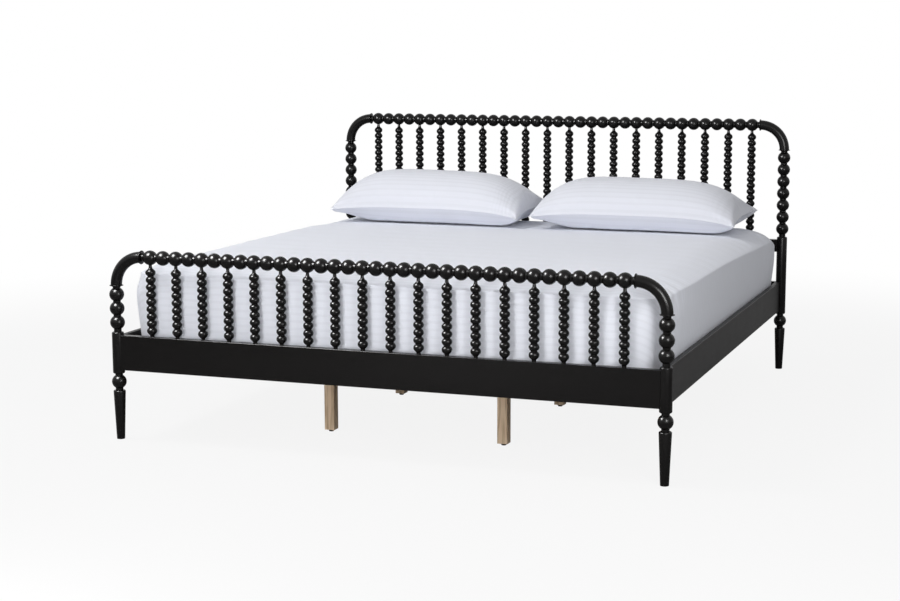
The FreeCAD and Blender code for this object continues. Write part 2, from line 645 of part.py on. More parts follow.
def centre_rail(side):
    """A lengthwise beam under the slats, held in a saddle at each end and by three legs."""
    piece = new_body(f"centre_rail_{side}", (f"{SIDES[side]} * {centre_rail_x}", "0", "0"))
    half = "sizes.centre_rail_width / 2"
    block(piece, "beam", (f"-{half}", f"-{centre_rail_end_y}", centre_rail_floor),
          ("sizes.centre_rail_width", f"2 * {centre_rail_end_y}", "sizes.centre_rail_height"))
    bolt_start = ("0", "-sizes.support_leg_pitch", f"{centre_rail_floor} - sizes.cut_overrun")
    bolt = hole(piece, "leg_bolt", bolt_start, None, "sizes.bolt_diameter / 2 + sizes.bolt_clearance",
                "sizes.leg_bolt_length / 2 + sizes.cut_overrun + sizes.dowel_end_clearance")
    repeat(piece, "leg_bolts", "Y_Axis", "sizes.support_leg_pitch", str(len(LEG_ROWS)), bolt)
    slat_pilot_holes(piece, "0")


def support_leg(side, row):
    """A square centre leg, bolted up into its rail and tapped below for a levelling glide."""
    place_at = (f"{SIDES[side]} * {centre_rail_x}", f"{LEG_ROWS[row]} * sizes.support_leg_pitch", "0")
    piece = new_body(f"support_leg_{side}_{row}", place_at)
    half = "sizes.support_leg_width / 2"
    height = f"({centre_rail_floor} - sizes.glide_height)"
    block(piece, "post", (f"-{half}", f"-{half}", "sizes.glide_height"),
          ("sizes.support_leg_width", "sizes.support_leg_width", height))
    round_edges(piece, "edges", "sizes.board_edge_round", runs_along(FreeCAD.Vector(0, 0, 1)))
    bolt_depth = "(sizes.leg_bolt_length / 2 + sizes.dowel_end_clearance)"
    hole(piece, "bolt", ("0", "0", f"{centre_rail_floor} - {bolt_depth}"), None,
         "sizes.bolt_diameter / 2 + sizes.bolt_clearance", f"{bolt_depth} + sizes.cut_overrun")
    hole(piece, "insert", ("0", "0", "sizes.glide_height - sizes.cut_overrun"), None,
         "sizes.insert_diameter / 2 + sizes.peg_clearance",
         "sizes.insert_length + sizes.cut_overrun + sizes.dowel_end_clearance")
    hole(piece, "stud", ("0", "0", "sizes.glide_height"), None,
         "sizes.stud_diameter / 2 + sizes.stud_clearance",
         "sizes.stud_length + sizes.dowel_end_clearance")


def glide(side, row):
    """A levelling glide: a moulded pad on a threaded stud."""
    place_at = (f"{SIDES[side]} * {centre_rail_x}", f"{LEG_ROWS[row]} * sizes.support_leg_pitch", "0")
    piece = new_body(f"levelling_glide_{side}_{row}", place_at)
    feature(piece, "AdditiveCone", "pad", Radius1="sizes.glide_foot_diameter / 2",
            Radius2="sizes.glide_top_diameter / 2", Height="sizes.glide_height")
    round_edges(piece, "edges", "sizes.glide_edge_round", circle_at([0.0]))
    feature(piece, "AdditiveCylinder", "stud", ("0", "0", "sizes.glide_height / 2"),
            Radius="sizes.stud_diameter / 2", Height="sizes.stud_length + sizes.glide_height / 2")


def slat(index):
    """One slat across the bed, screwed to the cleats and the centre rails."""
    middle_y = f"-{first_slat_y} + {index} * {slat_pitch}"
    piece = new_body(f"slat_{index + 1:02d}", ("0", middle_y, slat_floor))
    block(piece, "plank", (f"-{slat_half}", "-sizes.slat_width / 2", "0"),
          (f"2 * {slat_half}", "sizes.slat_width", "sizes.slat_thickness"))
    round_edges(piece, "edges", "sizes.board_edge_round", runs_along(FreeCAD.Vector(1, 0, 0)))
    for name, x in (("cleat", cleat_middle_x), ("centre", centre_rail_x)):
        shank = hole(piece, f"{name}_hole", (f"-{x}", "0", "-sizes.cut_overrun"), None, screw_hole_radius,
                     "sizes.slat_thickness + 2 * sizes.cut_overrun")
        sink_depth = "(sizes.screw_head_height + sizes.screw_clearance)"
        sink = hole(piece, f"{name}_sink", (f"-{x}", "0", f"sizes.slat_thickness - {sink_depth}"), None,
                    "sizes.screw_head_diameter / 2 + sizes.screw_clearance",
                    f"{sink_depth} + sizes.cut_overrun")
        mirror(piece, f"{name}_far", "YZ_Plane", [shank, sink])


def saddles():
    """Folded steel saddles on the end boards, one under each end of each centre rail."""
    piece = loose_body("centre_rail_saddle")
    left = f"(-{centre_rail_x} - {saddle_outer})"
    near_y = f"-{end_board_face_y}"
    block(piece, "floor", (left, near_y, saddle_floor),
          (f"2 * {saddle_outer}", "sizes.saddle_reach", "sizes.saddle_plate"))
    for name, low_x in (("near", left), ("far", f"(-{centre_rail_x} + {saddle_inner})")):
        block(piece, f"cheek_{name}", (low_x, near_y, saddle_floor),
              ("sizes.saddle_plate", "sizes.saddle_reach", "sizes.saddle_height"))
    ears = {"near": f"({left} - sizes.saddle_ear)", "far": f"(-{centre_rail_x} + {saddle_outer})"}
    for name, low_x in ears.items():
        block(piece, f"ear_{name}", (low_x, near_y, saddle_floor),
              ("sizes.saddle_ear", "sizes.saddle_plate", "sizes.saddle_height"))
        hole_start = (f"{low_x} + sizes.saddle_ear / 2", f"{near_y} - sizes.cut_overrun", saddle_screw_z)
        hole(piece, f"hole_{name}", hole_start, ALONG_Y, screw_hole_radius,
             "sizes.saddle_plate + 2 * sizes.cut_overrun")
    group("centre_rail_saddles", [piece], LEFT_TO_RIGHT, FOOT_TO_HEAD)


def rod(name, at, turn, diameter, length):
    """A plain round rod, such as a dowel or the body of a bolt."""
    made = doc.addObject("Part::Cylinder", name)
    made.setExpression("Radius", f"{diameter} / 2")
    made.setExpression("Height", length)
    place(made, at, turn)
    return made


def screw(name, at, turn, length):
    """A wood screw from its head's outer face, running along the turned axis."""
    piece = loose_body(name)
    feature(piece, "AdditiveCylinder", "head", at, turn,
            Radius="sizes.screw_head_diameter / 2", Height="sizes.screw_head_height")
    feature(piece, "AdditiveCylinder", "shank", at, turn,
            Radius="sizes.screw_diameter / 2", Height=length)
    return piece


def dowels():
    """Glued dowels between the boards, posts, bends and top rails."""
    half = "sizes.dowel_length / 2"
    members = []
    for end, y_sign in ENDS.items():
        y = f"{y_sign} * {post_y}"
        heights = list(dowel_heights(rail_middle))
        if end == "headboard":
            heights += dowel_heights(lower_rail_middle)
        spots = [((f"-{end_board_x} - {half}", y, height), ALONG_X) for height in heights]
        post_top = f"({post_collar_z(end)} - {collar_depth})"
        spots.append(((f"-{post_x}", y, f"{post_top} - {half}"), None))
        spots.append(((f"-{rail_end_x} - {half}", y, rail_z(end)), ALONG_X))
        for order, (at, turn) in enumerate(spots):
            name = f"{end}_dowel_{order}"
            members.append(rod(name, at, turn, "sizes.dowel_diameter", "sizes.dowel_length"))
    group("dowels", members, LEFT_TO_RIGHT)


def rail_bolts():
    """Bolts from the posts into the side rails, each with a nut in the rail's pocket."""
    start = f"(-{side_rail_end_y} - sizes.bolt_depth_in_post)"
    nut_y = f"(-{side_rail_end_y} + sizes.bolt_pocket_gap)"
    length = "(sizes.bolt_depth_in_post + sizes.bolt_pocket_gap + sizes.nut_thickness + sizes.bolt_tail)"
    bolts = []
    nuts = []
    for name, height in zip(("low", "high"), bolt_heights()):
        at = (f"-{rail_middle_x}", start, height)
        bolts.append(rod(f"rail_bolt_{name}", at, ALONG_Y, "sizes.bolt_diameter", length))
        nut = loose_body(f"rail_nut_{name}")
        feature(nut, "AdditivePrism", "hexagon", (f"-{rail_middle_x}", nut_y, height), ALONG_Y,
                Circumradius="sizes.nut_width / sqrt(3)", Height="sizes.nut_thickness")
        hole(nut, "thread", (f"-{rail_middle_x}", f"{nut_y} - sizes.cut_overrun", height), ALONG_Y,
             "sizes.bolt_diameter / 2 + sizes.bolt_clearance", "sizes.nut_thickness + 2 * sizes.cut_overrun")
        nuts.append(nut)
    group("rail_bolts", bolts, LEFT_TO_RIGHT, FOOT_TO_HEAD)
    group("rail_nuts", nuts, LEFT_TO_RIGHT, FOOT_TO_HEAD)


def leg_hardware():
    """Bolts that hold the centre legs to their rails, and the threaded inserts in the leg ends."""
    near_x = f"-{centre_rail_x}"
    near_y = "-sizes.support_leg_pitch"
    bolt = loose_body("leg_bolt")
    feature(bolt, "AdditiveCylinder", "shank",
            (near_x, near_y, f"{centre_rail_floor} - sizes.leg_bolt_length / 2"),
            Radius="sizes.bolt_diameter / 2", Height="sizes.leg_bolt_length")
    insert = loose_body("leg_insert_nut")
    feature(insert, "AdditiveCylinder", "sleeve", (near_x, near_y, "sizes.glide_height"),
            Radius="sizes.insert_diameter / 2", Height="sizes.insert_length")
    hole(insert, "thread", (near_x, near_y, "sizes.glide_height - sizes.cut_overrun"), None,
         "sizes.stud_diameter / 2 + sizes.stud_clearance", "sizes.insert_length + 2 * sizes.cut_overrun")
    for piece in (bolt, insert):
        repeat(piece, "rows", "Y_Axis", "sizes.support_leg_pitch", str(len(LEG_ROWS)))
        group(f"{piece.Name}s", [piece], LEFT_TO_RIGHT)


def screws():
    """Wood screws of the cleats, the slats and the saddles."""
    cleat_inner_x = f"({rail_inner_x} - sizes.cleat_width)"
    outward = (FreeCAD.Vector(0, 1, 0), -90)
    piece = screw("cleat_screw", (f"-{cleat_inner_x}", f"-{cleat_screw_y}", cleat_screw_z), outward,
                  "sizes.cleat_width + sizes.screw_bite")
    repeat(piece, "row", "Y_Axis", cleat_screw_pitch, "sizes.cleat_screw_count")
    group("cleat_screws", [piece], LEFT_TO_RIGHT)

    down = (FreeCAD.Vector(1, 0, 0), 180)
    rows = []
    for name, x in (("cleat", cleat_middle_x), ("centre", centre_rail_x)):
        piece = screw(f"slat_screw_{name}", (f"-{x}", f"-{first_slat_y}", slat_top), down,
                      "sizes.slat_thickness + sizes.screw_bite")
        repeat(piece, "row", "Y_Axis", slat_pitch, "sizes.slat_count")
        rows.append(piece)
    group("slat_screws", rows, LEFT_TO_RIGHT)

    head_y = f"(-{end_board_face_y} + sizes.saddle_plate + sizes.screw_head_height)"
    toward_board = (FreeCAD.Vector(1, 0, 0), 90)
    length = "sizes.screw_head_height + sizes.saddle_plate + sizes.screw_bite"
    pair = []
    for ear in (-1, 1):
        ear_x = f"-{centre_rail_x} + {ear} * {saddle_ear_x}"
        at = (ear_x, head_y, saddle_screw_z)
        pair.append(screw(f"saddle_screw_{ear + 1}", at, toward_board, length))
    group("saddle_screws", pair, LEFT_TO_RIGHT, FOOT_TO_HEAD)


def soft_piece(label, shape, at, turn=None):
    """A stuffed piece whose lofted shape is worked out from the sheet."""
    piece = doc.addObject("Part::Feature", label)
    piece.Label = label
    piece.Shape = shape
    place(piece, at, turn)
    pieces.append(piece)


def rounded_rectangle(half_x, half_y, corner, z):
    """A level rectangle with rounded corners, as a closed wire."""
    edges = []
    diagonal = corner * (1 - math.sqrt(0.5))
    for x_sign, y_sign, along_x in ((1, 1, False), (-1, 1, True), (-1, -1, False), (1, -1, True)):
        on_side = FreeCAD.Vector(x_sign * half_x, y_sign * (half_y - corner), z)
        on_end = FreeCAD.Vector(x_sign * (half_x - corner), y_sign * half_y, z)
        middle = FreeCAD.Vector(x_sign * (half_x - diagonal), y_sign * (half_y - diagonal), z)
        first, last = (on_end, on_side) if along_x else (on_side, on_end)
        edges.append(Part.Arc(first, middle, last).toShape())
    corners = list(edges)
    for arc, following in zip(corners, corners[1:] + corners[:1]):
        edges.append(Part.LineSegment(arc.lastVertex().Point, following.firstVertex().Point).toShape())
    return Part.Wire(Part.__sortEdges__(edges))


mattress_floor = f"({slat_top} + sizes.soft_gap)"
mattress_half_x = f"({rail_inner_x} - sizes.mattress_side_gap)"
mattress_half_y = f"({end_board_face_y} - sizes.mattress_end_gap)"
mattress_top = f"({mattress_floor} + sizes.mattress_thickness)"


MATTRESS_BOTTOM_ANGLES = (90, 60, 30, 0)
MATTRESS_SIDE_SHARES = (0.25, 0.5, 0.75)
MATTRESS_TOP_ANGLES = (0, 25, 50, 75)
MATTRESS_CROWN_SHARES = (0.4, 1.0)


def mattress():
    """A mattress with rounded edges, slightly swelling sides and a low crown."""
    half_x = number(mattress_half_x)
    half_y = number(mattress_half_y)
    thick = number("sizes.mattress_thickness")
    top_round = number("sizes.mattress_top_round")
    bottom_round = number("sizes.mattress_bottom_round")
    bulge = number("sizes.mattress_bulge")
    crown = number("sizes.mattress_crown")
    crown_run = number("sizes.mattress_crown_run")
    levels = []
    for angle in MATTRESS_BOTTOM_ANGLES:
        swing = math.radians(angle)
        levels.append((bottom_round * (1 - math.sin(swing)), bulge + bottom_round * (1 - math.cos(swing))))
    shoulder = thick - crown - top_round
    side_height = shoulder - bottom_round
    for share in MATTRESS_SIDE_SHARES:
        drawn_in = bulge * (1 - math.sin(math.pi * share))
        levels.append((bottom_round + share * side_height, drawn_in))
    for angle in MATTRESS_TOP_ANGLES:
        swing = math.radians(angle)
        levels.append((shoulder + top_round * math.sin(swing), bulge + top_round * (1 - math.cos(swing))))
    edge_rise, edge_inset = levels[-1]
    for share in MATTRESS_CROWN_SHARES:
        rise = edge_rise + (thick - edge_rise) * math.sin(math.pi / 2 * share)
        levels.append((rise, edge_inset + (crown_run - edge_inset) * share))
    corner = number("sizes.mattress_corner")
    wires = [rounded_rectangle(half_x - inset, half_y - inset, corner, z) for z, inset in levels]
    shape = Part.makeLoft(wires, True, True)
    soft_piece("mattress", shape, ("0", "0", mattress_floor))


PILLOW_STATIONS = (-1.0, -0.86, -0.6, -0.25, 0.25, 0.6, 0.86, 1.0)


def pillow(side):
    """A plump pillow with pointed corners, drawn-in long sides and a seam below mid height."""
    width = number("sizes.pillow_width")
    depth = number("sizes.pillow_depth")
    waist = number("sizes.pillow_waist")
    edge = number("sizes.pillow_edge")
    end_power = number("sizes.pillow_end_power")
    swell_power = number("sizes.pillow_swell_power")
    wires = []
    for station in PILLOW_STATIONS:
        fullness = (1 - abs(station)**end_power)**swell_power
        half = depth / 2 - waist * (1 - station**2)
        crown = edge + (number("sizes.pillow_crown") - edge) * fullness
        belly = edge + (number("sizes.pillow_belly") - edge) * fullness
        x = station * width / 2
        front = FreeCAD.Vector(x, -half, 0)
        back = FreeCAD.Vector(x, half, 0)
        upper = Part.Arc(front, FreeCAD.Vector(x, 0, crown), back).toShape()
        lower = Part.Arc(back, FreeCAD.Vector(x, 0, -belly), front).toShape()
        wires.append(Part.Wire([upper, lower]))
    shape = Part.makeLoft(wires, True, False)
    turn = (FreeCAD.Vector(1, 0, 0), number("sizes.pillow_tilt"))
    leaning = shape.copy()
    leaning.rotate(FreeCAD.Vector(), *turn)
    lift = -leaning.BoundBox.ZMin
    middle_x = f"{SIDES[side]} * (sizes.pillow_width + sizes.pillow_middle_gap) / 2"
    middle_y = f"{mattress_half_y} - sizes.pillow_head_gap - sizes.pillow_depth / 2"
    middle_z = f"{mattress_top} + sizes.soft_gap + {lift}"
    soft_piece(f"pillow_{side}", shape, (middle_x, middle_y, middle_z), turn)


for end in ENDS:
    for side in SIDES:
        post(end, side)
        bend(end, side)
    top_rail(end)
    spindles(end)
end_board("footboard_board", "footboard", "sizes.rail_floor_gap", "sizes.rail_height",
          rail_middle, pegged=True, carries_rails=True)
end_board("headboard_base_board", "headboard", "sizes.rail_floor_gap", "sizes.rail_height",
          rail_middle, pegged=False, carries_rails=True)
end_board("headboard_lower_rail", "headboard", "sizes.lower_rail_floor_gap", "sizes.lower_rail_height",
          lower_rail_middle, pegged=True, carries_rails=False)
for side in SIDES:
    side_rail(side)
    cleat(side)
    centre_rail(side)
    for row in LEG_ROWS:
        support_leg(side, row)
        glide(side, row)
for index in range(int(number("sizes.slat_count"))):
    slat(index)
saddles()
dowels()
rail_bolts()
leg_hardware()
screws()
mattress()
for side in SIDES:
    pillow(side)

doc.recompute()
faulty = [thing.Name for thing in doc.Objects if {"Invalid", "Error"} & set(thing.State)]
faulty += [piece.Label for piece in pieces if piece.Shape.isNull() or not piece.Shape.isValid()]
if faulty:
    raise RuntimeError(f"pieces that failed: {faulty}")

os.makedirs("parts", exist_ok=True)
for piece in pieces:
    piece.Shape.exportStep(f"parts/{piece.Label}.step")
    print(f"{piece.Label}: {len(piece.Shape.Solids)} solids, {piece.Shape.Volume / 1000:.1f} cm3")
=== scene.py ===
import math

import bmesh
import bpy
from mathutils import Matrix, Vector, noise


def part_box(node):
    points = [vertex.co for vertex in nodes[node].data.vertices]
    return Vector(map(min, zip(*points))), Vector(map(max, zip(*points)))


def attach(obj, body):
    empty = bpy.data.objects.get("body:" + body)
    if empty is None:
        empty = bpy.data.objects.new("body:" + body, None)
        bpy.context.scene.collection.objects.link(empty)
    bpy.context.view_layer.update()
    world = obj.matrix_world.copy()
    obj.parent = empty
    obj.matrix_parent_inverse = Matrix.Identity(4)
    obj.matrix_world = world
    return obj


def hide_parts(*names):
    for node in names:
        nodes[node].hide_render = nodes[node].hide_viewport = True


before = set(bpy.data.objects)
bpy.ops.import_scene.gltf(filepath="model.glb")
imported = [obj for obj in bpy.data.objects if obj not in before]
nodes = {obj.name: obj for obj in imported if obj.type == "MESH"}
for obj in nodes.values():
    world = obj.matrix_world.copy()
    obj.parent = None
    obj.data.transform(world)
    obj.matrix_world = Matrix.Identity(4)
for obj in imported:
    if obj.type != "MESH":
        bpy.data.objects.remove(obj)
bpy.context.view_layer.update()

# Corner posts, four of them, turned from one length of hardwood each: a tapered leg, a ball, a
# plain shaft that takes the rails, and a stack of balls up to the bend. Sprayed with satin black
# lacquer, under which the grain still shows a little.
LEFT, RIGHT = -1, 1
FOOT, HEAD = -1, 1
SIDE_NAMES = {LEFT: "left", RIGHT: "right"}
END_NAMES = {FOOT: "footboard", HEAD: "headboard"}
POST_X = 0.99125
POST_Y = 1.05095
LEG_FOOT_RADIUS = 0.0145
LEG_TOP_RADIUS = 0.0215
LEG_HEIGHT = 0.1775
LEG_EDGE = 0.0015
LEG_BALL_HEIGHT = 0.208
SHAFT_RADIUS = 0.02125
SHAFT_FLOOR = 0.2375
SHOULDER = 0.005
BALL_RADIUS = 0.026
BALL_PITCH = 0.0502
BALL_END_GAP = 0.0335
NECK_RADIUS = 0.0135
RAIL_HEIGHTS = {FOOT: 0.6565, HEAD: 1.0383}
POST_BALLS = {FOOT: 3, HEAD: 7}
BEND_REACH = 0.102
COLLAR_FLANGE = 0.0025
COLLAR_CONE = 0.0045
ROUND_STEPS = 40
BALL_STEPS = 14
EDGE_STEPS = 4
WELD_GAP = 1e-6
SHARP_ANGLE = math.radians(38)
POST_GRAIN = (95, 95, 7)
PORE_FINENESS = 3.2
PORE_EDGES = (0.34, 0.46)
PORE_RELIEF = 0.4
FIBRE_RELIEF = 0.6
LACQUER_DARK = (0.0014, 0.0012, 0.0012)
LACQUER_LIGHT = (0.0056, 0.0049, 0.0047)
LACQUER_ROUGHNESS = 0.19
FIBRE_DULLING = 0.05
HAZE_DULLING = 0.06
LACQUER_SHINE = 0.165
DULL_SHINE = 0.25


class Shade:
    """A node socket that sums and products can be written with."""

    def __init__(self, tree, socket):
        self.tree = tree
        self.socket = socket

    def node(self, kind, inputs, output=0, **settings):
        """Adds a node, sets it up, fills or links its sockets, and gives one of its outputs."""
        made = self.tree.nodes.new(f"ShaderNode{kind}")
        for name, setting in settings.items():
            setattr(made, name, setting)
        for name, value in inputs.items():
            if isinstance(value, Shade):
                self.tree.links.new(value.socket, made.inputs[name])
            else:
                made.inputs[name].default_value = value
        return Shade(self.tree, made.outputs[output])

    def math(self, operation, first, second=0.0):
        return self.node("Math", {0: first, 1: second}, operation=operation)

    def __add__(self, other):
        return self.math("ADD", self, other)

    def __sub__(self, other):
        return self.math("SUBTRACT", self, other)

    def __rsub__(self, other):
        return self.math("SUBTRACT", other, self)

    def __mul__(self, other):
        return self.math("MULTIPLY", self, other)

    def __pow__(self, other):
        return self.math("POWER", self, other)

    __radd__ = __add__
    __rmul__ = __mul__

    def between(self, dark, light):
        """A colour that goes from dark to light as this value goes from 0 to 1."""
        return self.node("Mix", {0: self, 6: (*dark, 1), 7: (*light, 1)}, 2, data_type="RGBA")

    def ramp(self, low, high):
        """Goes from 0 to 1 as this value goes from low to high."""
        made = self.node("ValToRGB", {"Fac": self})
        for element, position in zip(made.socket.node.color_ramp.elements, (low, high)):
            element.position = position
        return made

    def wave(self):
        """A sine wave of this value, raised to lie between 0 and 1."""
        return self.math("SINE", self) * 0.5 + 0.5

    def attribute(self, name):
        """A number that the mesh carries at each of its points."""
        return self.node("Attribute", {}, 2, attribute_name=name)

    def stretched(self, scale):
        return self.node("Mapping", {"Vector": self, "Scale": scale})

    def clouds(self, scale=1.0, detail=3.0, roughness=0.5):
        settings = {"Vector": self, "Scale": scale, "Detail": detail, "Roughness": roughness}
        return self.node("TexNoise", settings)


def new_finish(name):
    """A bare material, its Principled node, and the object's own coordinates to draw on."""
    material = bpy.data.materials.new(name)
    material.use_nodes = True
    tree = material.node_tree
    coordinates = tree.nodes.new("ShaderNodeTexCoord")
    return material, tree.nodes["Principled BSDF"], Shade(tree, coordinates.outputs["Object"])


def lay_on(shader, colour, roughness, height, bump_strength, bump_depth):
    """Links what varies over the surface to the shader."""
    links = colour.tree.links
    links.new(colour.socket, shader.inputs["Base Color"])
    links.new(roughness.socket, shader.inputs["Roughness"])
    settings = {"Strength": bump_strength, "Distance": bump_depth, "Height": height}
    bump = height.node("Bump", settings)
    links.new(bump.socket, shader.inputs["Normal"])


def black_lacquer(name, grain_scale, gloss_loss):
    """Satin black lacquer over close grain, which runs along the axis whose scale is small."""
    material, shader, place = new_finish(name)
    fibre = place.stretched(grain_scale).clouds(detail=5.0, roughness=0.65)
    pore_scale = tuple(PORE_FINENESS * scale for scale in grain_scale)
    pores = place.stretched(pore_scale).clouds(detail=2.0)
    haze = place.clouds(scale=9.0, detail=2.0)
    open_pore = pores.ramp(*PORE_EDGES)
    colour = fibre.between(LACQUER_DARK, LACQUER_LIGHT)
    roughness = (LACQUER_ROUGHNESS + gloss_loss) + FIBRE_DULLING * fibre + HAZE_DULLING * haze
    relief = FIBRE_RELIEF * fibre + PORE_RELIEF * open_pore
    shader.inputs["Specular IOR Level"].default_value = LACQUER_SHINE + DULL_SHINE * gloss_loss
    lay_on(shader, colour, roughness, relief, bump_strength=0.07, bump_depth=0.0004)
    return material


class Turning:
    """The outline of a turned piece, drawn from its foot up beside the lathe's axis."""

    def __init__(self, height=0.0):
        self.outline = bmesh.new()
        self.last = self.outline.verts.new((0, 0, height))

    def to(self, radius, height):
        grown = bmesh.ops.extrude_vert_indiv(self.outline, verts=[self.last])
        self.last = grown["verts"][0]
        self.last.co = (radius, 0, height)

    def arc(self, radius, height, degrees, steps):
        """Swings the last point about a centre; a positive angle swells outwards on the way up."""
        swung = bmesh.ops.spin(self.outline, geom=[self.last], cent=(radius, 0, height),
                               axis=(0, -1, 0), angle=math.radians(degrees), steps=steps)
        self.last = next(item for item in swung["geom_last"]
                         if isinstance(item, bmesh.types.BMVert))

    def ball(self, height, radius, neck):
        """A ball on the axis, from neck to neck."""
        lean = math.acos(neck / radius)
        self.to(neck, height - radius * math.sin(lean))
        self.arc(0, height, 2 * math.degrees(lean), BALL_STEPS)

    def solid(self, height, steps=ROUND_STEPS):
        """Closes the outline on the axis and spins it into a solid."""
        self.to(0, height)
        outline = self.outline
        bmesh.ops.spin(outline, geom=outline.verts[:] + outline.edges[:], cent=(0, 0, 0),
                       axis=(0, 0, 1), angle=math.tau, steps=steps, use_merge=True)
        bmesh.ops.remove_doubles(outline, verts=outline.verts, dist=WELD_GAP)
        bmesh.ops.recalc_face_normals(outline, faces=outline.faces)
        return outline


def add_copy(whole, member, matrix):
    """Adds a placed copy of one bmesh to another."""
    held = bpy.data.meshes.new("held")
    member.to_mesh(held)
    held.transform(matrix)
    whole.from_mesh(held)
    bpy.data.meshes.remove(held)


def finished(name, solid, material, body, stands_for):
    """Makes a smooth-shaded object of a bmesh, which rides on a body and stands for CAD nodes."""
    mesh = bpy.data.meshes.new(name)
    solid.to_mesh(mesh)
    solid.free()
    mesh.shade_smooth()
    mesh.set_sharp_from_angle(angle=SHARP_ANGLE)
    mesh.materials.append(material)
    piece = bpy.data.objects.new(name, mesh)
    bpy.context.scene.collection.objects.link(piece)
    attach(piece, body)
    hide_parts(*stands_for)
    return piece


post_lacquer = black_lacquer("black_lacquer_upright", POST_GRAIN, 0.0)


def corner_post(end):
    """One post on the lathe's axis, standing on the floor."""
    top = RAIL_HEIGHTS[end] - BEND_REACH - COLLAR_FLANGE - COLLAR_CONE
    first_ball = RAIL_HEIGHTS[end] - BEND_REACH - BALL_END_GAP - (POST_BALLS[end] - 1) * BALL_PITCH
    shaft_top = first_ball - BALL_END_GAP
    post = Turning()
    post.to(LEG_FOOT_RADIUS - LEG_EDGE, 0)
    post.arc(LEG_FOOT_RADIUS - LEG_EDGE, LEG_EDGE, 90, EDGE_STEPS)
    post.to(LEG_TOP_RADIUS, LEG_HEIGHT - SHOULDER)
    post.arc(LEG_TOP_RADIUS - SHOULDER, LEG_HEIGHT - SHOULDER, 90, EDGE_STEPS)
    post.to(NECK_RADIUS, LEG_HEIGHT)
    post.ball(LEG_BALL_HEIGHT, BALL_RADIUS, NECK_RADIUS)
    post.to(NECK_RADIUS, SHAFT_FLOOR)
    post.to(SHAFT_RADIUS - SHOULDER, SHAFT_FLOOR)
    post.arc(SHAFT_RADIUS - SHOULDER, SHAFT_FLOOR + SHOULDER, 90, EDGE_STEPS)
    post.to(SHAFT_RADIUS, shaft_top - SHOULDER)
    post.arc(SHAFT_RADIUS - SHOULDER, shaft_top - SHOULDER, 90, EDGE_STEPS)
    post.to(NECK_RADIUS, shaft_top)
    for index in range(POST_BALLS[end]):
        post.ball(first_ball + index * BALL_PITCH, BALL_RADIUS, NECK_RADIUS)
    post.to(NECK_RADIUS, top)
    return post.solid(top)


for end, end_name in END_NAMES.items():
    for side, side_name in SIDE_NAMES.items():
        turned = corner_post(end)
        bmesh.ops.translate(turned, verts=turned.verts, vec=(side * POST_X, end * POST_Y, 0))
        finished(f"{end_name}_turned_post_{side_name}", turned, post_lacquer,
                 "frame", [f"{end_name}_post_{side_name}"])

# Quarter bends that carry each post over into its top rail, one piece of wood each, steam bent and
# sanded round. Each end has a sharp flange and a short cone that meets the neck of the next ball.
BEND_RADIUS = 0.020
COLLAR_RADIUS = 0.02425
CONE_RADIUS = 0.021
BEND_STEPS = 24
FLANGE_EDGE = 0.0006


def collar():
    """The flange and cone, with the flange's inner face on the floor and the cone pointing up."""
    ring = Turning()
    ring.to(COLLAR_RADIUS - FLANGE_EDGE, 0)
    ring.arc(COLLAR_RADIUS - FLANGE_EDGE, FLANGE_EDGE, 90, EDGE_STEPS)
    ring.to(COLLAR_RADIUS, COLLAR_FLANGE - FLANGE_EDGE)
    ring.arc(COLLAR_RADIUS - FLANGE_EDGE, COLLAR_FLANGE - FLANGE_EDGE, 90, EDGE_STEPS)
    ring.to(CONE_RADIUS, COLLAR_FLANGE)
    ring.to(NECK_RADIUS, COLLAR_FLANGE + COLLAR_CONE)
    return ring.solid(COLLAR_FLANGE + COLLAR_CONE)


def quarter_bend():
    """A bend in the X-Z plane about the origin, from the post below to the rail on the left."""
    arm = bmesh.new()
    ring = bmesh.ops.create_circle(arm, cap_ends=False, radius=BEND_RADIUS, segments=ROUND_STEPS,
                                   matrix=Matrix.Translation((BEND_REACH, 0, 0)))
    edges = list({edge for vert in ring["verts"] for edge in vert.link_edges})
    bmesh.ops.spin(arm, geom=ring["verts"] + edges, cent=(0, 0, 0), axis=(0, -1, 0),
                   angle=math.pi / 2, steps=BEND_STEPS)
    bmesh.ops.recalc_face_normals(arm, faces=arm.faces)
    down = Matrix.Translation((BEND_REACH, 0, 0)) @ Matrix.Rotation(math.pi, 4, "X")
    inward = Matrix.Translation((0, 0, BEND_REACH)) @ Matrix.Rotation(-math.pi / 2, 4, "Y")
    for matrix in (down, inward):
        add_copy(arm, collar(), matrix)
    return arm


for end, end_name in END_NAMES.items():
    for side, side_name in SIDE_NAMES.items():
        bent = quarter_bend()
        if side == LEFT:
            bmesh.ops.rotate(bent, verts=bent.verts, matrix=Matrix.Rotation(math.pi, 3, "Z"))
        corner = (side * (POST_X - BEND_REACH), end * POST_Y, RAIL_HEIGHTS[end] - BEND_REACH)
        bmesh.ops.translate(bent, verts=bent.verts, vec=corner)
        finished(f"{end_name}_steam_bend_{side_name}", bent, post_lacquer,
                 "frame", [f"{end_name}_bend_{side_name}"])

# Top rails of the headboard and footboard, each a row of balls turned on one length of wood and
# dowelled between the two bends.
RAIL_END = POST_X - BEND_REACH - COLLAR_FLANGE - COLLAR_CONE
RAIL_BALLS = 35
RAIL_END_GAP = 0.02885
RAIL_PITCH = 2 * (RAIL_END - RAIL_END_GAP) / (RAIL_BALLS - 1)
RAIL_GRAIN = (7, 95, 95)

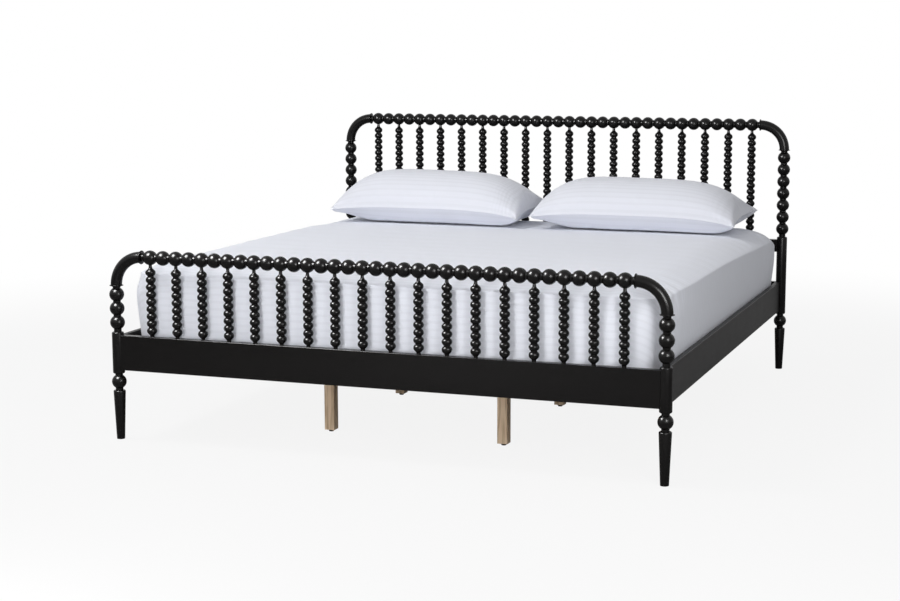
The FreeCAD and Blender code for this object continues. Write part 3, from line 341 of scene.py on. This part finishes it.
rail_lacquer = black_lacquer("black_lacquer_crossways", RAIL_GRAIN, 0.0)
for end, end_name in END_NAMES.items():
    row = Turning(-RAIL_END)
    row.to(NECK_RADIUS, -RAIL_END)
    for index in range(RAIL_BALLS):
        row.ball((index - (RAIL_BALLS - 1) / 2) * RAIL_PITCH, BALL_RADIUS, NECK_RADIUS)
    row.to(NECK_RADIUS, RAIL_END)
    turned = row.solid(RAIL_END)
    bmesh.ops.rotate(turned, verts=turned.verts, matrix=Matrix.Rotation(math.pi / 2, 3, "Y"))
    bmesh.ops.translate(turned, verts=turned.verts, vec=(0, end * POST_Y, RAIL_HEIGHTS[end]))
    finished(f"{end_name}_ball_rail", turned, rail_lacquer,
             "frame", [f"{end_name}_top_rail"])

# Spindles under every other ball, each turned as a string of flattened beads with an acorn at the
# foot and a slim neck at the top, and pegged into the board below and the ball above.
SPINDLES = 18
BEAD_RADIUS = 0.018
BEAD_ARC = 0.0125
BEAD_NECK = 0.0113
SPINDLE_FOOT = 0.0075
SPINDLE_PEG = 0.0055
SPINDLE_TOP_GAP = 0.026
SPINDLE_BOTTOM_GAP = 0.0215
SPINDLE_BEADS = {FOOT: 9, HEAD: 17}
SPINDLE_FLOORS = {FOOT: 0.376, HEAD: 0.556}
ACORN_ANGLE = 50
ACORN_FOOT_RISE = 0.0055
TIP_ANGLE = 56
TIP_NECK = ((0.0082, 0.0142), (0.0060, 0.0185))
SPINDLE_STEPS = 22
BEAD_STEPS = 8


def spindle(end):
    """One spindle that stands on the board's top edge."""
    span = RAIL_HEIGHTS[end] - BALL_RADIUS - SPINDLE_FLOORS[end]
    low = SPINDLE_BOTTOM_GAP
    high = span - SPINDLE_TOP_GAP
    pitch = (high - low) / (SPINDLE_BEADS[end] - 1)
    centre = BEAD_RADIUS - BEAD_ARC
    lean = math.degrees(math.acos((BEAD_NECK - centre) / BEAD_ARC))
    acorn_side = centre + BEAD_ARC * math.cos(math.radians(ACORN_ANGLE))
    acorn_drop = BEAD_ARC * math.sin(math.radians(ACORN_ANGLE))
    bead_drop = BEAD_ARC * math.sin(math.radians(lean))
    stick = Turning(-SPINDLE_PEG)
    stick.to(SPINDLE_FOOT, -SPINDLE_PEG)
    stick.to(SPINDLE_FOOT, ACORN_FOOT_RISE)
    stick.to(acorn_side, low - acorn_drop)
    stick.arc(centre, low, ACORN_ANGLE + lean, BEAD_STEPS)
    for index in range(1, SPINDLE_BEADS[end] - 1):
        stick.to(BEAD_NECK, low + index * pitch - bead_drop)
        stick.arc(centre, low + index * pitch, 2 * lean, BEAD_STEPS)
    stick.to(BEAD_NECK, high - bead_drop)
    stick.arc(centre, high, TIP_ANGLE + lean, BEAD_STEPS)
    for radius, rise in TIP_NECK:
        stick.to(radius, high + rise)
    peg_end = span + BALL_RADIUS / 2
    stick.to(SPINDLE_PEG, peg_end)
    return stick.solid(peg_end, SPINDLE_STEPS)


for end, end_name in END_NAMES.items():
    one = spindle(end)
    row = bmesh.new()
    for index in range(SPINDLES):
        x = (2 * index - (SPINDLES - 1)) * RAIL_PITCH
        add_copy(row, one, Matrix.Translation((x, end * POST_Y, SPINDLE_FLOORS[end])))
    one.free()
    finished(f"{end_name}_beaded_spindles", row, post_lacquer,
             "frame", [f"{end_name}_spindles"])

# Boards between the posts, the headboard's lower rail and the long side rails: planed boards with
# eased edges, dowelled or bolted to the posts and lacquered black like the turnings.
SIDE_RAIL_GRAIN = (95, 5, 95)
SIDE_RAIL_GLOSS_LOSS = 0.2

long_lacquer = black_lacquer("black_lacquer_lengthways", SIDE_RAIL_GRAIN, SIDE_RAIL_GLOSS_LOSS)


def recoat(material, *names):
    """Gives carried-over CAD nodes a finish of their own."""
    for name in names:
        nodes[name].data.materials.clear()
        nodes[name].data.materials.append(material)


recoat(rail_lacquer, "footboard_board", "headboard_base_board", "headboard_lower_rail")
recoat(long_lacquer, "side_rail_left", "side_rail_right")

# Centre legs, bare and lightly stained softwood that shows its grain, one under each third of the
# two centre rails. Each has a threaded glide in its foot.
LEG_NAMES = [f"{side}_{row}" for side in SIDE_NAMES.values() for row in ("foot", "middle", "head")]
LEG_GRAIN = (60, 60, 4)
LEG_DARK = (0.38, 0.265, 0.170)
LEG_LIGHT = (0.72, 0.560, 0.400)
LEG_RINGS = 22
RING_SHARPNESS = 2.0
RING_SHARE = 0.62
BARE_FIBRE_SHARE = 0.38
BARE_FIBRE_FINENESS = (6, 6, 6)
BARE_ROUGHNESS = 0.52
BARE_DULLING = 0.2
BARE_SHINE = 0.3


def bare_wood(name, grain_scale, dark, light, ring_scale):
    """Planed softwood with growth rings and fine fibre along the grain."""
    material, shader, place = new_finish(name)
    along = place.stretched(grain_scale)
    wander = along.clouds(scale=0.9, detail=3.0)
    rings = (wander * ring_scale).wave()
    fibre = along.stretched(BARE_FIBRE_FINENESS).clouds(detail=4.0, roughness=0.7)
    figure = RING_SHARE * rings ** RING_SHARPNESS + BARE_FIBRE_SHARE * fibre
    colour = figure.between(light, dark)
    roughness = BARE_ROUGHNESS + BARE_DULLING * fibre
    lay_on(shader, colour, roughness, figure, bump_strength=0.22, bump_depth=0.0006)
    shader.inputs["Specular IOR Level"].default_value = BARE_SHINE
    return material


leg_wood = bare_wood("leg_wood_grain", LEG_GRAIN, LEG_DARK, LEG_LIGHT, LEG_RINGS)
recoat(leg_wood, *(f"support_leg_{name}" for name in LEG_NAMES))

# Levelling glides, black moulded pads on a plated stud, which screw in and out of the leg's foot.
GLIDE_DARK = (0.010, 0.010, 0.010)
GLIDE_LIGHT = (0.028, 0.027, 0.026)
GLIDE_ROUGHNESS = 0.38
GLIDE_DULLING = 0.25

glide_plastic, shader, place = new_finish("glide_moulded_plastic")
spark = place.clouds(scale=900.0, detail=2.0)
wear = place.clouds(scale=70.0, detail=3.0)
lay_on(shader, wear.between(GLIDE_DARK, GLIDE_LIGHT), GLIDE_ROUGHNESS + GLIDE_DULLING * spark,
       spark, bump_strength=0.2, bump_depth=0.0002)
recoat(glide_plastic, *(f"levelling_glide_{name}" for name in LEG_NAMES))

# Slat deck: fourteen pine slats across two cleats and two centre rails, all of planed pine. The
# dowels of the joints are the same pale wood.
SLAT_GRAIN = (4, 55, 55)
SLAT_DARK = (0.44, 0.285, 0.150)
SLAT_LIGHT = (0.74, 0.565, 0.365)
SLAT_RINGS = 26
BEAM_GRAIN = (55, 4, 55)
BEAM_DARK = (0.41, 0.265, 0.140)
BEAM_LIGHT = (0.70, 0.525, 0.335)
BEAM_RINGS = 24

slat_pine = bare_wood("slat_pine_grain", SLAT_GRAIN, SLAT_DARK, SLAT_LIGHT, SLAT_RINGS)
beam_pine = bare_wood("beam_pine_grain", BEAM_GRAIN, BEAM_DARK, BEAM_LIGHT, BEAM_RINGS)
slats = [name for name in nodes if name.removeprefix("slat_").isdigit()]
recoat(slat_pine, *slats, "dowels")
recoat(beam_pine, "slat_cleat_left", "slat_cleat_right", "centre_rail_left", "centre_rail_right")

# Saddles that hold the ends of the centre rails, folded from sheet steel and powder coated. They
# are screwed to the boards at the head and foot.
SADDLE_DARK = (0.016, 0.016, 0.017)
SADDLE_LIGHT = (0.034, 0.034, 0.035)
SADDLE_ROUGHNESS = 0.42
SADDLE_DULLING = 0.2

saddle_coat, shader, place = new_finish("saddle_powder_coat")
pebble = place.clouds(scale=420.0, detail=2.0)
cast = place.clouds(scale=35.0, detail=2.0)
lay_on(shader, cast.between(SADDLE_DARK, SADDLE_LIGHT), SADDLE_ROUGHNESS + SADDLE_DULLING * pebble,
       pebble, bump_strength=0.25, bump_depth=0.0004)
recoat(saddle_coat, "centre_rail_saddles")

# Bolts, nuts, threaded inserts and wood screws, all of zinc plated steel. They hold the side
# rails, the legs and the deck together, so that the bed can be taken apart.
ZINC_DARK = (0.46, 0.47, 0.48)
ZINC_LIGHT = (0.70, 0.71, 0.73)
ZINC_BRUSHING = (1500, 1500, 90)
ZINC_ROUGHNESS = 0.24
ZINC_DULLING = 0.22

zinc, shader, place = new_finish("zinc_plate")
bloom = place.clouds(scale=240.0, detail=4.0)
brushed = place.stretched(ZINC_BRUSHING).clouds(detail=2.0)
lay_on(shader, bloom.between(ZINC_DARK, ZINC_LIGHT), ZINC_ROUGHNESS + ZINC_DULLING * bloom,
       brushed, bump_strength=0.12, bump_depth=0.0001)
shader.inputs["Metallic"].default_value = 1.0
recoat(zinc, "rail_bolts", "rail_nuts", "leg_bolts", "leg_insert_nuts",
       "cleat_screws", "slat_screws", "saddle_screws")

# Mattress in a fitted sheet: a deep foam and spring core with soft edges, under white cotton with
# a woven stripe. The sheet's elastic draws small puckers along the top edge near the corners.
MATTRESS_LOW, MATTRESS_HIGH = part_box("mattress")
MATTRESS_SHY = 0.003
MATTRESS_FOOT_REACH = 0.006
MATTRESS_FOOT_CORNER = 0.112
MATTRESS_HEAD_CORNER = 0.036
MATTRESS_COLUMNS = 84
MATTRESS_ROWS = 96
MATTRESS_WALL_ROWS = 13
MATTRESS_CROWDING = math.radians(77)
MATTRESS_WALL_CROWDING = 1.6
MATTRESS_SWELL = 0.003
MATTRESS_BULGE = 0.0112
MATTRESS_END_BULGE = 0.0060
MATTRESS_FOOT_BULGE = 0.4
MATTRESS_BULGE_RUN = 0.10
MATTRESS_BULGE_HEIGHT = 0.9
MATTRESS_FOOT_SINK = 0.15
MATTRESS_BULGE_POWER = 1.3
MATTRESS_ROUND = 0.016
MATTRESS_ROUND_RISE = (0.74, 1.0)
MATTRESS_DENT = 0.013
MATTRESS_DENT_ALONG = (0.28, 0.62)
MATTRESS_DENT_ACROSS = (0.95, 0.85)
FOOT_CORNER_ALONG = (-0.55, -0.95)
FOOT_CORNER_ACROSS = (0.55, 0.90)
SHOULDER_RUN = (0.130, 0.110)
SHOULDER_DROP = (0.036, 0.028)
SHOULDER_PULL = 0.7
SHOULDER_PULL_ALONG = (-0.2, 1.0)
SEAM_GAP = 1e-5
CLOTH_QUALITY = 4
CLOTH_PRESSURE = 4.0
MATTRESS_SWELL_FRAMES = 8
SHEET_WHITE = (0.80, 0.82, 0.89)
STRIPE_PITCH = 0.025
STRIPE_EDGES = (0.60, 0.86)
STRIPE_SHADE = 0.935
STRIPE_TURN = (0.09, 0.02)
STRIPE_GLOSS = 0.2
COTTON_ROUGHNESS = 0.82
COTTON_SHINE = 0.2
COTTON_SHEEN = 0.12
COTTON_SHEEN_ROUGHNESS = 0.5
BAND_TONE = 0.62
SLUB_TONE = 0.22
CREASE_TONE = 0.16
# How much darker the hollows of the pleats are painted: painted shade.
PLEAT_PAINTED_SHADE = 0.7
WEAVE_RELIEF = 0.30
BAND_RELIEF = 0.25
CREASE_RELIEF = 2.6
SLUB_RELIEF = 0.25
RIDGE_RELIEF = 0.9
SLUB_GRAIN = (16, 210, 210)
PLEATS = 8
PLEAT_WANDER = 9.0
PUCKER_PITCH = 0.095
PUCKER_DEPTH = 0.0052
PUCKER_LEAST = 0.30
PUCKER_REACH = (0.05, 0.60)
PUCKER_CLEAR = (0.03, 0.16)
PUCKER_INWARD = 0.13
PUCKER_DOWN = 0.16
PUCKER_NOISE = 5.0
PUCKER_WANDER = 4.0
RIPPLE_PITCH = 0.115
RIPPLE_DEPTH = 0.0010
RIPPLE_SLANT = 0.10
RIPPLE_NOISE = 1.3
RIPPLE_WANDER = 5.0


def cotton(name, light):
    """White cotton sateen whose stripe and pleats follow the cloth's own attributes. The stripe is
    woven in, while the hollows of the pleats are painted darker as painted shade.
    """
    material, shader, place = new_finish(name)
    phase = place.attribute("stripe") * (math.tau / STRIPE_PITCH)
    band = phase.wave().ramp(*STRIPE_EDGES)
    weave = place.clouds(scale=1300.0, detail=2.0)
    crease = place.clouds(scale=13.0, detail=3.0, roughness=0.55)
    slub = place.stretched(SLUB_GRAIN).clouds(detail=3.0)
    gather = place.attribute("gather")
    pleats = gather * PLEATS * math.tau + PLEAT_WANDER * crease
    pleat_hollow = pleats.math("SINE", pleats) * gather
    stripe_and_painted_shade = tuple(STRIPE_SHADE * channel for channel in light)
    # The darker tone serves the woven stripe and the random slub and crease tone. It also gives
    # painted shade in the pleats' hollows, which the bump presses in.
    tone = BAND_TONE * band + SLUB_TONE * slub + CREASE_TONE * crease + PLEAT_PAINTED_SHADE * pleat_hollow
    colour = tone.between(light, stripe_and_painted_shade)
    relief = (WEAVE_RELIEF * weave + BAND_RELIEF * band + CREASE_RELIEF * crease
              + SLUB_RELIEF * slub - RIDGE_RELIEF * pleat_hollow)
    roughness = COTTON_ROUGHNESS - STRIPE_GLOSS * band
    lay_on(shader, colour, roughness, relief, bump_strength=0.35, bump_depth=0.0016)
    shader.inputs["Specular IOR Level"].default_value = COTTON_SHINE
    shader.inputs["Sheen Weight"].default_value = COTTON_SHEEN
    shader.inputs["Sheen Roughness"].default_value = COTTON_SHEEN_ROUGHNESS
    return material


def smooth_step(low, high, value):
    """Eases from 0 to 1 as the value goes from low to high."""
    share = min(max((value - low) / (high - low), 0.0), 1.0)
    return share * share * (3 - 2 * share)


def inflate(piece, frames, cap, looseness=0.0):
    """Swells a closed cloth by simulation, holding each point within a cap of where it began."""
    rest = [vert.co.copy() for vert in piece.data.vertices]
    cloth = piece.modifiers.new("cloth", "CLOTH")
    cloth.settings.quality = CLOTH_QUALITY
    cloth.settings.use_pressure = True
    cloth.settings.uniform_pressure_force = CLOTH_PRESSURE
    cloth.settings.shrink_min = -looseness
    cloth.settings.effector_weights.gravity = 0
    cloth.collision_settings.use_collision = False
    cloth.point_cache.frame_start = 1
    cloth.point_cache.frame_end = frames
    scene = bpy.context.scene
    for number in range(1, frames + 1):
        scene.frame_set(number)
    settled = piece.evaluated_get(bpy.context.evaluated_depsgraph_get())
    shaped = bpy.data.meshes.new_from_object(settled)
    piece.modifiers.remove(cloth)
    scene.frame_set(1)
    for vert, swelled, began in zip(piece.data.vertices, shaped.vertices, rest):
        move = swelled.co - began
        if move.length > cap:
            move *= cap / move.length
        vert.co = began + move
    bpy.data.meshes.remove(shaped)


def subdivided(piece):
    """One level of smoothing subdivision."""
    smooth = piece.modifiers.new("smooth", "SUBSURF")
    smooth.levels = 1
    smooth.render_levels = 1


sheet_cotton = cotton("sheet_striped_cotton", SHEET_WHITE)

sheet_low = MATTRESS_LOW + Vector((MATTRESS_SHY, -MATTRESS_FOOT_REACH, 0))
sheet_high = MATTRESS_HIGH - Vector((1, 1, 1)) * MATTRESS_SHY
sheet_middle = (sheet_low + sheet_high) / 2
sheet_half = (sheet_high - sheet_low) / 2
cover = bmesh.new()


def sheet_panel(height):
    """A flat net with round corners, whose threads lie closer together towards its edges."""
    made = bmesh.ops.create_grid(cover, x_segments=MATTRESS_COLUMNS, y_segments=MATTRESS_ROWS,
                                 size=1)
    for vert in made["verts"]:
        corner = MATTRESS_FOOT_CORNER if vert.co.y < 0 else MATTRESS_HEAD_CORNER
        spot = Vector([half * math.sin(share * MATTRESS_CROWDING) / math.sin(MATTRESS_CROWDING)
                       for half, share in zip(sheet_half.xy, vert.co.xy)])
        past = [(abs(away) - half) / corner + 1 for away, half in zip(spot, sheet_half.xy)]
        if min(past) > 0:
            for axis in (0, 1):
                drawn_in = past[axis] * math.sqrt(1 - past[1 - axis] ** 2 / 2)
                spot[axis] = math.copysign(sheet_half[axis] + corner * (drawn_in - 1), spot[axis])
        vert.co = (*(sheet_middle.xy + spot), height)


sheet_panel(sheet_high.z)
rim = [edge for edge in cover.edges if edge.is_boundary]
for row in range(1, MATTRESS_WALL_ROWS + 1):
    grown = bmesh.ops.extrude_edge_only(cover, edges=rim)["geom"]
    rim = [item for item in grown if isinstance(item, bmesh.types.BMEdge) and item.is_boundary]
    depth = (row / MATTRESS_WALL_ROWS) ** MATTRESS_WALL_CROWDING
    for vert in {vert for edge in rim for vert in edge.verts}:
        vert.co.z = sheet_high.z + (sheet_low.z - sheet_high.z) * depth
sheet_panel(sheet_low.z)
bmesh.ops.remove_doubles(cover, verts=cover.verts, dist=SEAM_GAP)
bmesh.ops.recalc_face_normals(cover, faces=cover.faces)
mattress = finished("dressed_mattress", cover, sheet_cotton,
                    "mattress", ["mattress"])


def shouldered(spot):
    """The place of a point once the top falls away to its edges and under the pillows, the sides
    lean out, and the corners at the foot are rounded."""
    off = spot - sheet_middle
    height = off.z / sheet_half.z / 2 + 0.5
    drop = MATTRESS_DENT * smooth_step(*MATTRESS_DENT_ALONG, spot.y)
    drop *= smooth_step(*MATTRESS_DENT_ACROSS, abs(spot.x))
    for axis in (0, 1):
        beyond = max((abs(off[axis]) - sheet_half[axis]) / SHOULDER_RUN[axis] + 1, 0)
        pull = 1 + SHOULDER_PULL * smooth_step(*SHOULDER_PULL_ALONG, spot.y)
        drop += SHOULDER_DROP[axis] * beyond ** 2 * pull
    at_foot = smooth_step(*FOOT_CORNER_ALONG, spot.y)
    at_foot *= smooth_step(*FOOT_CORNER_ACROSS, abs(spot.x))
    widest = MATTRESS_BULGE_HEIGHT - MATTRESS_FOOT_SINK * at_foot
    swell = math.sin(min(max(height / widest, 0), 1) * math.pi / 2) ** MATTRESS_BULGE_POWER
    rounded = MATTRESS_ROUND * at_foot * smooth_step(*MATTRESS_ROUND_RISE, height)
    place = Vector((spot.x, spot.y, spot.z - drop * smooth_step(0, 1, height)))
    for axis, bulge in ((0, MATTRESS_BULGE), (1, MATTRESS_END_BULGE)):
        at_edge = smooth_step(-MATTRESS_BULGE_RUN, 0.0, abs(off[axis]) - sheet_half[axis])
        out = bulge * (1 + MATTRESS_FOOT_BULGE * at_foot) * swell - rounded
        place[axis] += out * math.copysign(at_edge, off[axis])
    return place


for vert in mattress.data.vertices:
    vert.co = shouldered(vert.co)
inflate(mattress, MATTRESS_SWELL_FRAMES, MATTRESS_SWELL)


def pucker(spot):
    """How far the sheet dips at a point: faint ripples all over, and short folds across the top
    edge that are deepest near the corners and fade out on them."""
    from_side = MATTRESS_HIGH.x - abs(spot.x)
    from_end = MATTRESS_HIGH.y - abs(spot.y)
    by_edge = 1 - smooth_step(0.0, PUCKER_INWARD, min(from_side, from_end))
    by_top = 1 - smooth_step(0.0, PUCKER_DOWN, MATTRESS_HIGH.z - spot.z)
    off_corner = max(from_side, from_end)
    by_corner = PUCKER_LEAST + (1 - PUCKER_LEAST) * (1 - smooth_step(*PUCKER_REACH, off_corner))
    by_corner *= smooth_step(*PUCKER_CLEAR, off_corner)
    along = spot.y if from_side < from_end else spot.x
    wander = PUCKER_WANDER * noise.noise(spot * PUCKER_NOISE)
    fold = math.sin(along * math.tau / PUCKER_PITCH + wander)
    across = (spot.y + RIPPLE_SLANT * spot.x) * math.tau / RIPPLE_PITCH
    ripple = math.sin(across + RIPPLE_WANDER * noise.noise(spot * RIPPLE_NOISE))
    return PUCKER_DEPTH * by_edge * by_top * by_corner * fold + RIPPLE_DEPTH * ripple


def cloth_run(spot):
    """How far along the cloth a point lies: along the bed on top, and then down its two ends."""
    down = (MATTRESS_HIGH.z - spot.z) * smooth_step(*STRIPE_TURN, MATTRESS_HIGH.y - abs(spot.y))
    return spot.y + math.copysign(down, spot.y)


for vert in mattress.data.vertices:
    vert.co -= vert.normal * pucker(vert.co)
    vert.co.z = max(vert.co.z, MATTRESS_LOW.z)
stripe = mattress.data.attributes.new("stripe", "FLOAT", "POINT")
stripe.data.foreach_set("value", [cloth_run(vert.co) for vert in mattress.data.vertices])
mattress.data.shade_smooth()
subdivided(mattress)

# Pillows in striped cases, each two panels sewn together all round and stuffed with fibre. They
# lie on the mattress against the headboard, with their pointed corners lifted clear of the sheet.
PILLOW_COLUMNS = 110
PILLOW_ROWS = 56
PILLOW_FLAT_DEPTH = 0.51
PILLOW_WAIST = 0.014
PILLOW_SEAM = 0.070
PILLOW_CROWNS = {LEFT: 0.131, RIGHT: 0.121}
PILLOW_TUCKS = {LEFT: (0.012, 0.012), RIGHT: (0.0, 0.013)}
PILLOW_UPPER_SQUARENESS = (4.6, 2.5)
PILLOW_LOWER_SQUARENESS = (5.0, 5.0)
PILLOW_SOFT_END = 2.4
PILLOW_DOME_POWER = (0.95, 0.92)
PILLOW_GATHER = {LEFT: 0.9, RIGHT: 0.5}
PILLOW_GATHER_RUN = (0.60, 0.95)
PILLOW_CROWN_LEAN = 0.05
PILLOW_SINK = 0.012
PILLOW_SETTLE = 0.012
PILLOW_FORWARD = 0.010
PILLOW_DROOP = 0.020
PILLOW_CORNER_PULL = 0.016
PILLOW_RIGHT_DROOP = 0.012
PILLOW_BACK_DROOP = 0.6
PILLOW_CORNER_POWER = 4
PILLOW_EDGE_POWER = 3
PILLOW_TILT = math.radians(2.5)
PILLOW_SWELL = 0.010
PILLOW_SWELL_FRAMES = 16
PILLOW_LOOSENESS = 0.03
PILLOW_WHITE = (0.77, 0.785, 0.85)

pillow_cotton = cotton("pillow_striped_cotton", PILLOW_WHITE)


def pillow_panel(case, half, crown, squareness, gathered):
    """One panel of the case, domed to a crown that may be below as well as above the seam. The
    left end of a panel below the seam is softer."""
    stripe = case.verts.layers.float["stripe"]
    gather = case.verts.layers.float["gather"]
    made = bmesh.ops.create_grid(case, x_segments=PILLOW_COLUMNS, y_segments=PILLOW_ROWS, size=1)
    for vert in made["verts"]:
        u, v, _ = vert.co
        vert[stripe] = v * PILLOW_FLAT_DEPTH / 2
        # The gather mask sets where the material draws pleats, with painted shade in their
        # hollows.
        vert[gather] = gathered * smooth_step(*PILLOW_GATHER_RUN, u)
        lengthways = PILLOW_SOFT_END if crown < 0 and u < 0 else squareness[0]
        dome = (1 - abs(u) ** lengthways) ** PILLOW_DOME_POWER[0]
        dome *= (1 - abs(v) ** squareness[1]) ** PILLOW_DOME_POWER[1]
        dome *= 1 - PILLOW_CROWN_LEAN * u
        droop = PILLOW_DROOP * (u * v) ** PILLOW_CORNER_POWER if v < 0 else 0
        to_right = PILLOW_RIGHT_DROOP * max(u, 0) ** PILLOW_EDGE_POWER
        droop += to_right * (1 + PILLOW_BACK_DROOP * max(v, 0))
        pull = PILLOW_CORNER_PULL * max(-v, 0) ** PILLOW_CORNER_POWER
        shorter = (PILLOW_WAIST * (1 - v * v) + pull) * abs(u) ** PILLOW_EDGE_POWER
        narrower = PILLOW_WAIST * (1 - u * u) * abs(v) ** PILLOW_EDGE_POWER
        vert.co = (u * (half.x - shorter), v * (half.y - narrower), crown * dome - droop)
    sewn = case.edges.layers.float["crease_edge"]
    for edge in case.edges:
        if edge.is_boundary:
            edge[sewn] = 1.0


for side, side_name in SIDE_NAMES.items():
    low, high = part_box(f"pillow_{side_name}")
    low += Vector((PILLOW_TUCKS[side][0], -2 * PILLOW_FORWARD, -PILLOW_SETTLE))
    high.x -= PILLOW_TUCKS[side][1]
    half = (high - low) / 2
    case = bmesh.new()
    case.verts.layers.float.new("stripe")
    case.verts.layers.float.new("gather")
    case.edges.layers.float.new("crease_edge")
    pillow_panel(case, half, PILLOW_CROWNS[side], PILLOW_UPPER_SQUARENESS, PILLOW_GATHER[side])
    pillow_panel(case, half, -PILLOW_SEAM - PILLOW_SINK, PILLOW_LOWER_SQUARENESS, 0.0)
    bmesh.ops.remove_doubles(case, verts=case.verts, dist=SEAM_GAP)
    bmesh.ops.recalc_face_normals(case, faces=case.faces)
    bmesh.ops.rotate(case, verts=case.verts, matrix=Matrix.Rotation(PILLOW_TILT, 3, "X"))
    bmesh.ops.translate(case, verts=case.verts,
                        vec=((low.x + high.x) / 2, (low.y + high.y) / 2, low.z + PILLOW_SEAM))
    pillow = finished(f"stuffed_pillow_{side_name}", case, pillow_cotton, f"pillow_{side_name}",
                      [f"pillow_{side_name}"])
    inflate(pillow, PILLOW_SWELL_FRAMES, PILLOW_SWELL, PILLOW_LOOSENESS)
    for vert in pillow.data.vertices:
        vert.co.z = max(vert.co.z, low.z)
    subdivided(pillow)

# Studio: a pale floor that runs off to a white surround, softboxes high on the left, low on the
# right and low in front, and light from the room that is strongest from the upper left. Two
# further lamps only put highlights on the lacquer.
FLOOR_SIZE = 60.0
FLOOR_DROP = 0.0005
FLOOR_GREY = (0.46, 0.46, 0.46, 1)
WHITE = (1, 1, 1, 1)
LAMPS = {
    "key": {"place": (-2.60, -1.60, 4.60), "aim": (0.0, -0.3, 0.5),
            "power": 94.0, "size": 1.0, "hidden": ("glossy",)},
    "glint": {"place": (-1.31, -2.07, 2.33), "aim": (0.0, -0.7, 0.5),
              "power": 340.0, "size": 1.1, "hidden": ("diffuse",)},
    "side": {"place": (2.13, -2.90, 1.38), "aim": (0.6, -0.9, 0.45),
             "power": 25.0, "size": 0.7, "hidden": ()},
    "side_glint": {"place": (2.13, -2.90, 1.38), "aim": (0.6, -0.9, 0.45),
                   "power": 120.0, "size": 0.8, "hidden": ("diffuse",)},
    "front": {"place": (-0.40, -3.40, 0.60), "aim": (-0.2, -1.0, 0.2),
              "power": 28.0, "size": 0.9, "hidden": ("glossy",)},
}
ROOM_LIGHT = 0.335
ROOM_FROM = Vector((-0.42, -0.25, 0.80))
ROOM_SLANT = 0.9
FLOOR_GLOW = 0.88
FLOOR_FADE_START, FLOOR_FADE_END = 2.2, 4.6

ground = bmesh.new()
bmesh.ops.create_grid(ground, x_segments=1, y_segments=1, size=FLOOR_SIZE / 2,
                      matrix=Matrix.Translation((0, 0, -FLOOR_DROP)))
floor_mesh = bpy.data.meshes.new("studio_floor")
ground.to_mesh(floor_mesh)
ground.free()
floor = bpy.data.objects.new("studio_floor", floor_mesh)
bpy.context.scene.collection.objects.link(floor)
floor_paint, shader, place = new_finish("floor_paint")
shader.inputs["Base Color"].default_value = FLOOR_GREY
shader.inputs["Roughness"].default_value = 1.0
shader.inputs["Specular IOR Level"].default_value = 0.0
seen = place.node("LightPath", {}, "Is Camera Ray")
glow = place.node("Emission", {"Color": WHITE, "Strength": 1.0})
painted = Shade(floor_paint.node_tree, shader.outputs[0])
reach = place.node("VectorMath", {0: place}, "Value", operation="LENGTH")
fade_run = {"Value": reach, "From Min": FLOOR_FADE_START, "From Max": FLOOR_FADE_END,
            "To Min": FLOOR_GLOW, "To Max": 1.0}
fade = reach.node("MapRange", fade_run, interpolation_type="SMOOTHSTEP")
blend = place.node("MixShader", {0: seen * fade, 1: painted, 2: glow})
floor_output = floor_paint.node_tree.nodes["Material Output"]
floor_paint.node_tree.links.new(blend.socket, floor_output.inputs["Surface"])
floor_mesh.materials.append(floor_paint)

world = bpy.data.worlds.new("studio")
world.use_nodes = True
bpy.context.scene.world = world
sky = world.node_tree
surround = sky.nodes["Background"]
seen = Shade(sky, sky.nodes.new("ShaderNodeLightPath").outputs["Is Camera Ray"])
mirrored = seen.node("LightPath", {}, "Is Glossy Ray")
through = seen.node("LightPath", {}, "Is Transmission Ray")
white = seen.math("MINIMUM", seen + mirrored + through, 1.0)
outwards = seen.node("TexCoord", {}, "Generated")
facing = outwards.node("VectorMath", {0: outwards, 1: ROOM_FROM}, "Value", operation="DOT_PRODUCT")
room = ROOM_LIGHT * (1 + ROOM_SLANT * facing)
sky.links.new((room * (1 - white) + white).socket, surround.inputs["Strength"])
surround.inputs["Color"].default_value = WHITE

for name, setting in LAMPS.items():
    softbox = bpy.data.lights.new(name, "AREA")
    softbox.energy = setting["power"]
    softbox.size = setting["size"]
    lamp = bpy.data.objects.new(name, softbox)
    lamp.location = setting["place"]
    backwards = lamp.location - Vector(setting["aim"])
    lamp.rotation_euler = backwards.to_track_quat("Z", "Y").to_euler()
    for kind in ("camera", *setting["hidden"]):
        setattr(lamp, f"visible_{kind}", False)
    bpy.context.scene.collection.objects.link(lamp)

# Camera at the place and angle from which the bed was photographed, worked out from where the
# balls of the rails and posts lie in the photograph.
CAMERA_PLACE = (2.26699, -6.51777, 1.45662)
CAMERA_YAW = math.radians(20.14)
CAMERA_PITCH = math.radians(8.733)
CAMERA_ROLL = math.radians(-0.13)
CAMERA_LENS = 71.64
CAMERA_SENSOR = 36.0

lens = bpy.data.cameras.new("camera")
lens.lens = CAMERA_LENS
lens.sensor_width = CAMERA_SENSOR
camera = bpy.data.objects.new("camera", lens)
turn = Matrix.Rotation(CAMERA_YAW, 4, "Z") @ Matrix.Rotation(math.pi / 2 - CAMERA_PITCH, 4, "X")
roll = Matrix.Rotation(CAMERA_ROLL, 4, "Z")
camera.matrix_world = Matrix.Translation(CAMERA_PLACE) @ turn @ roll
bpy.context.scene.collection.objects.link(camera)
bpy.context.scene.camera = camera
bpy.context.scene.view_settings.view_transform = "Standard"
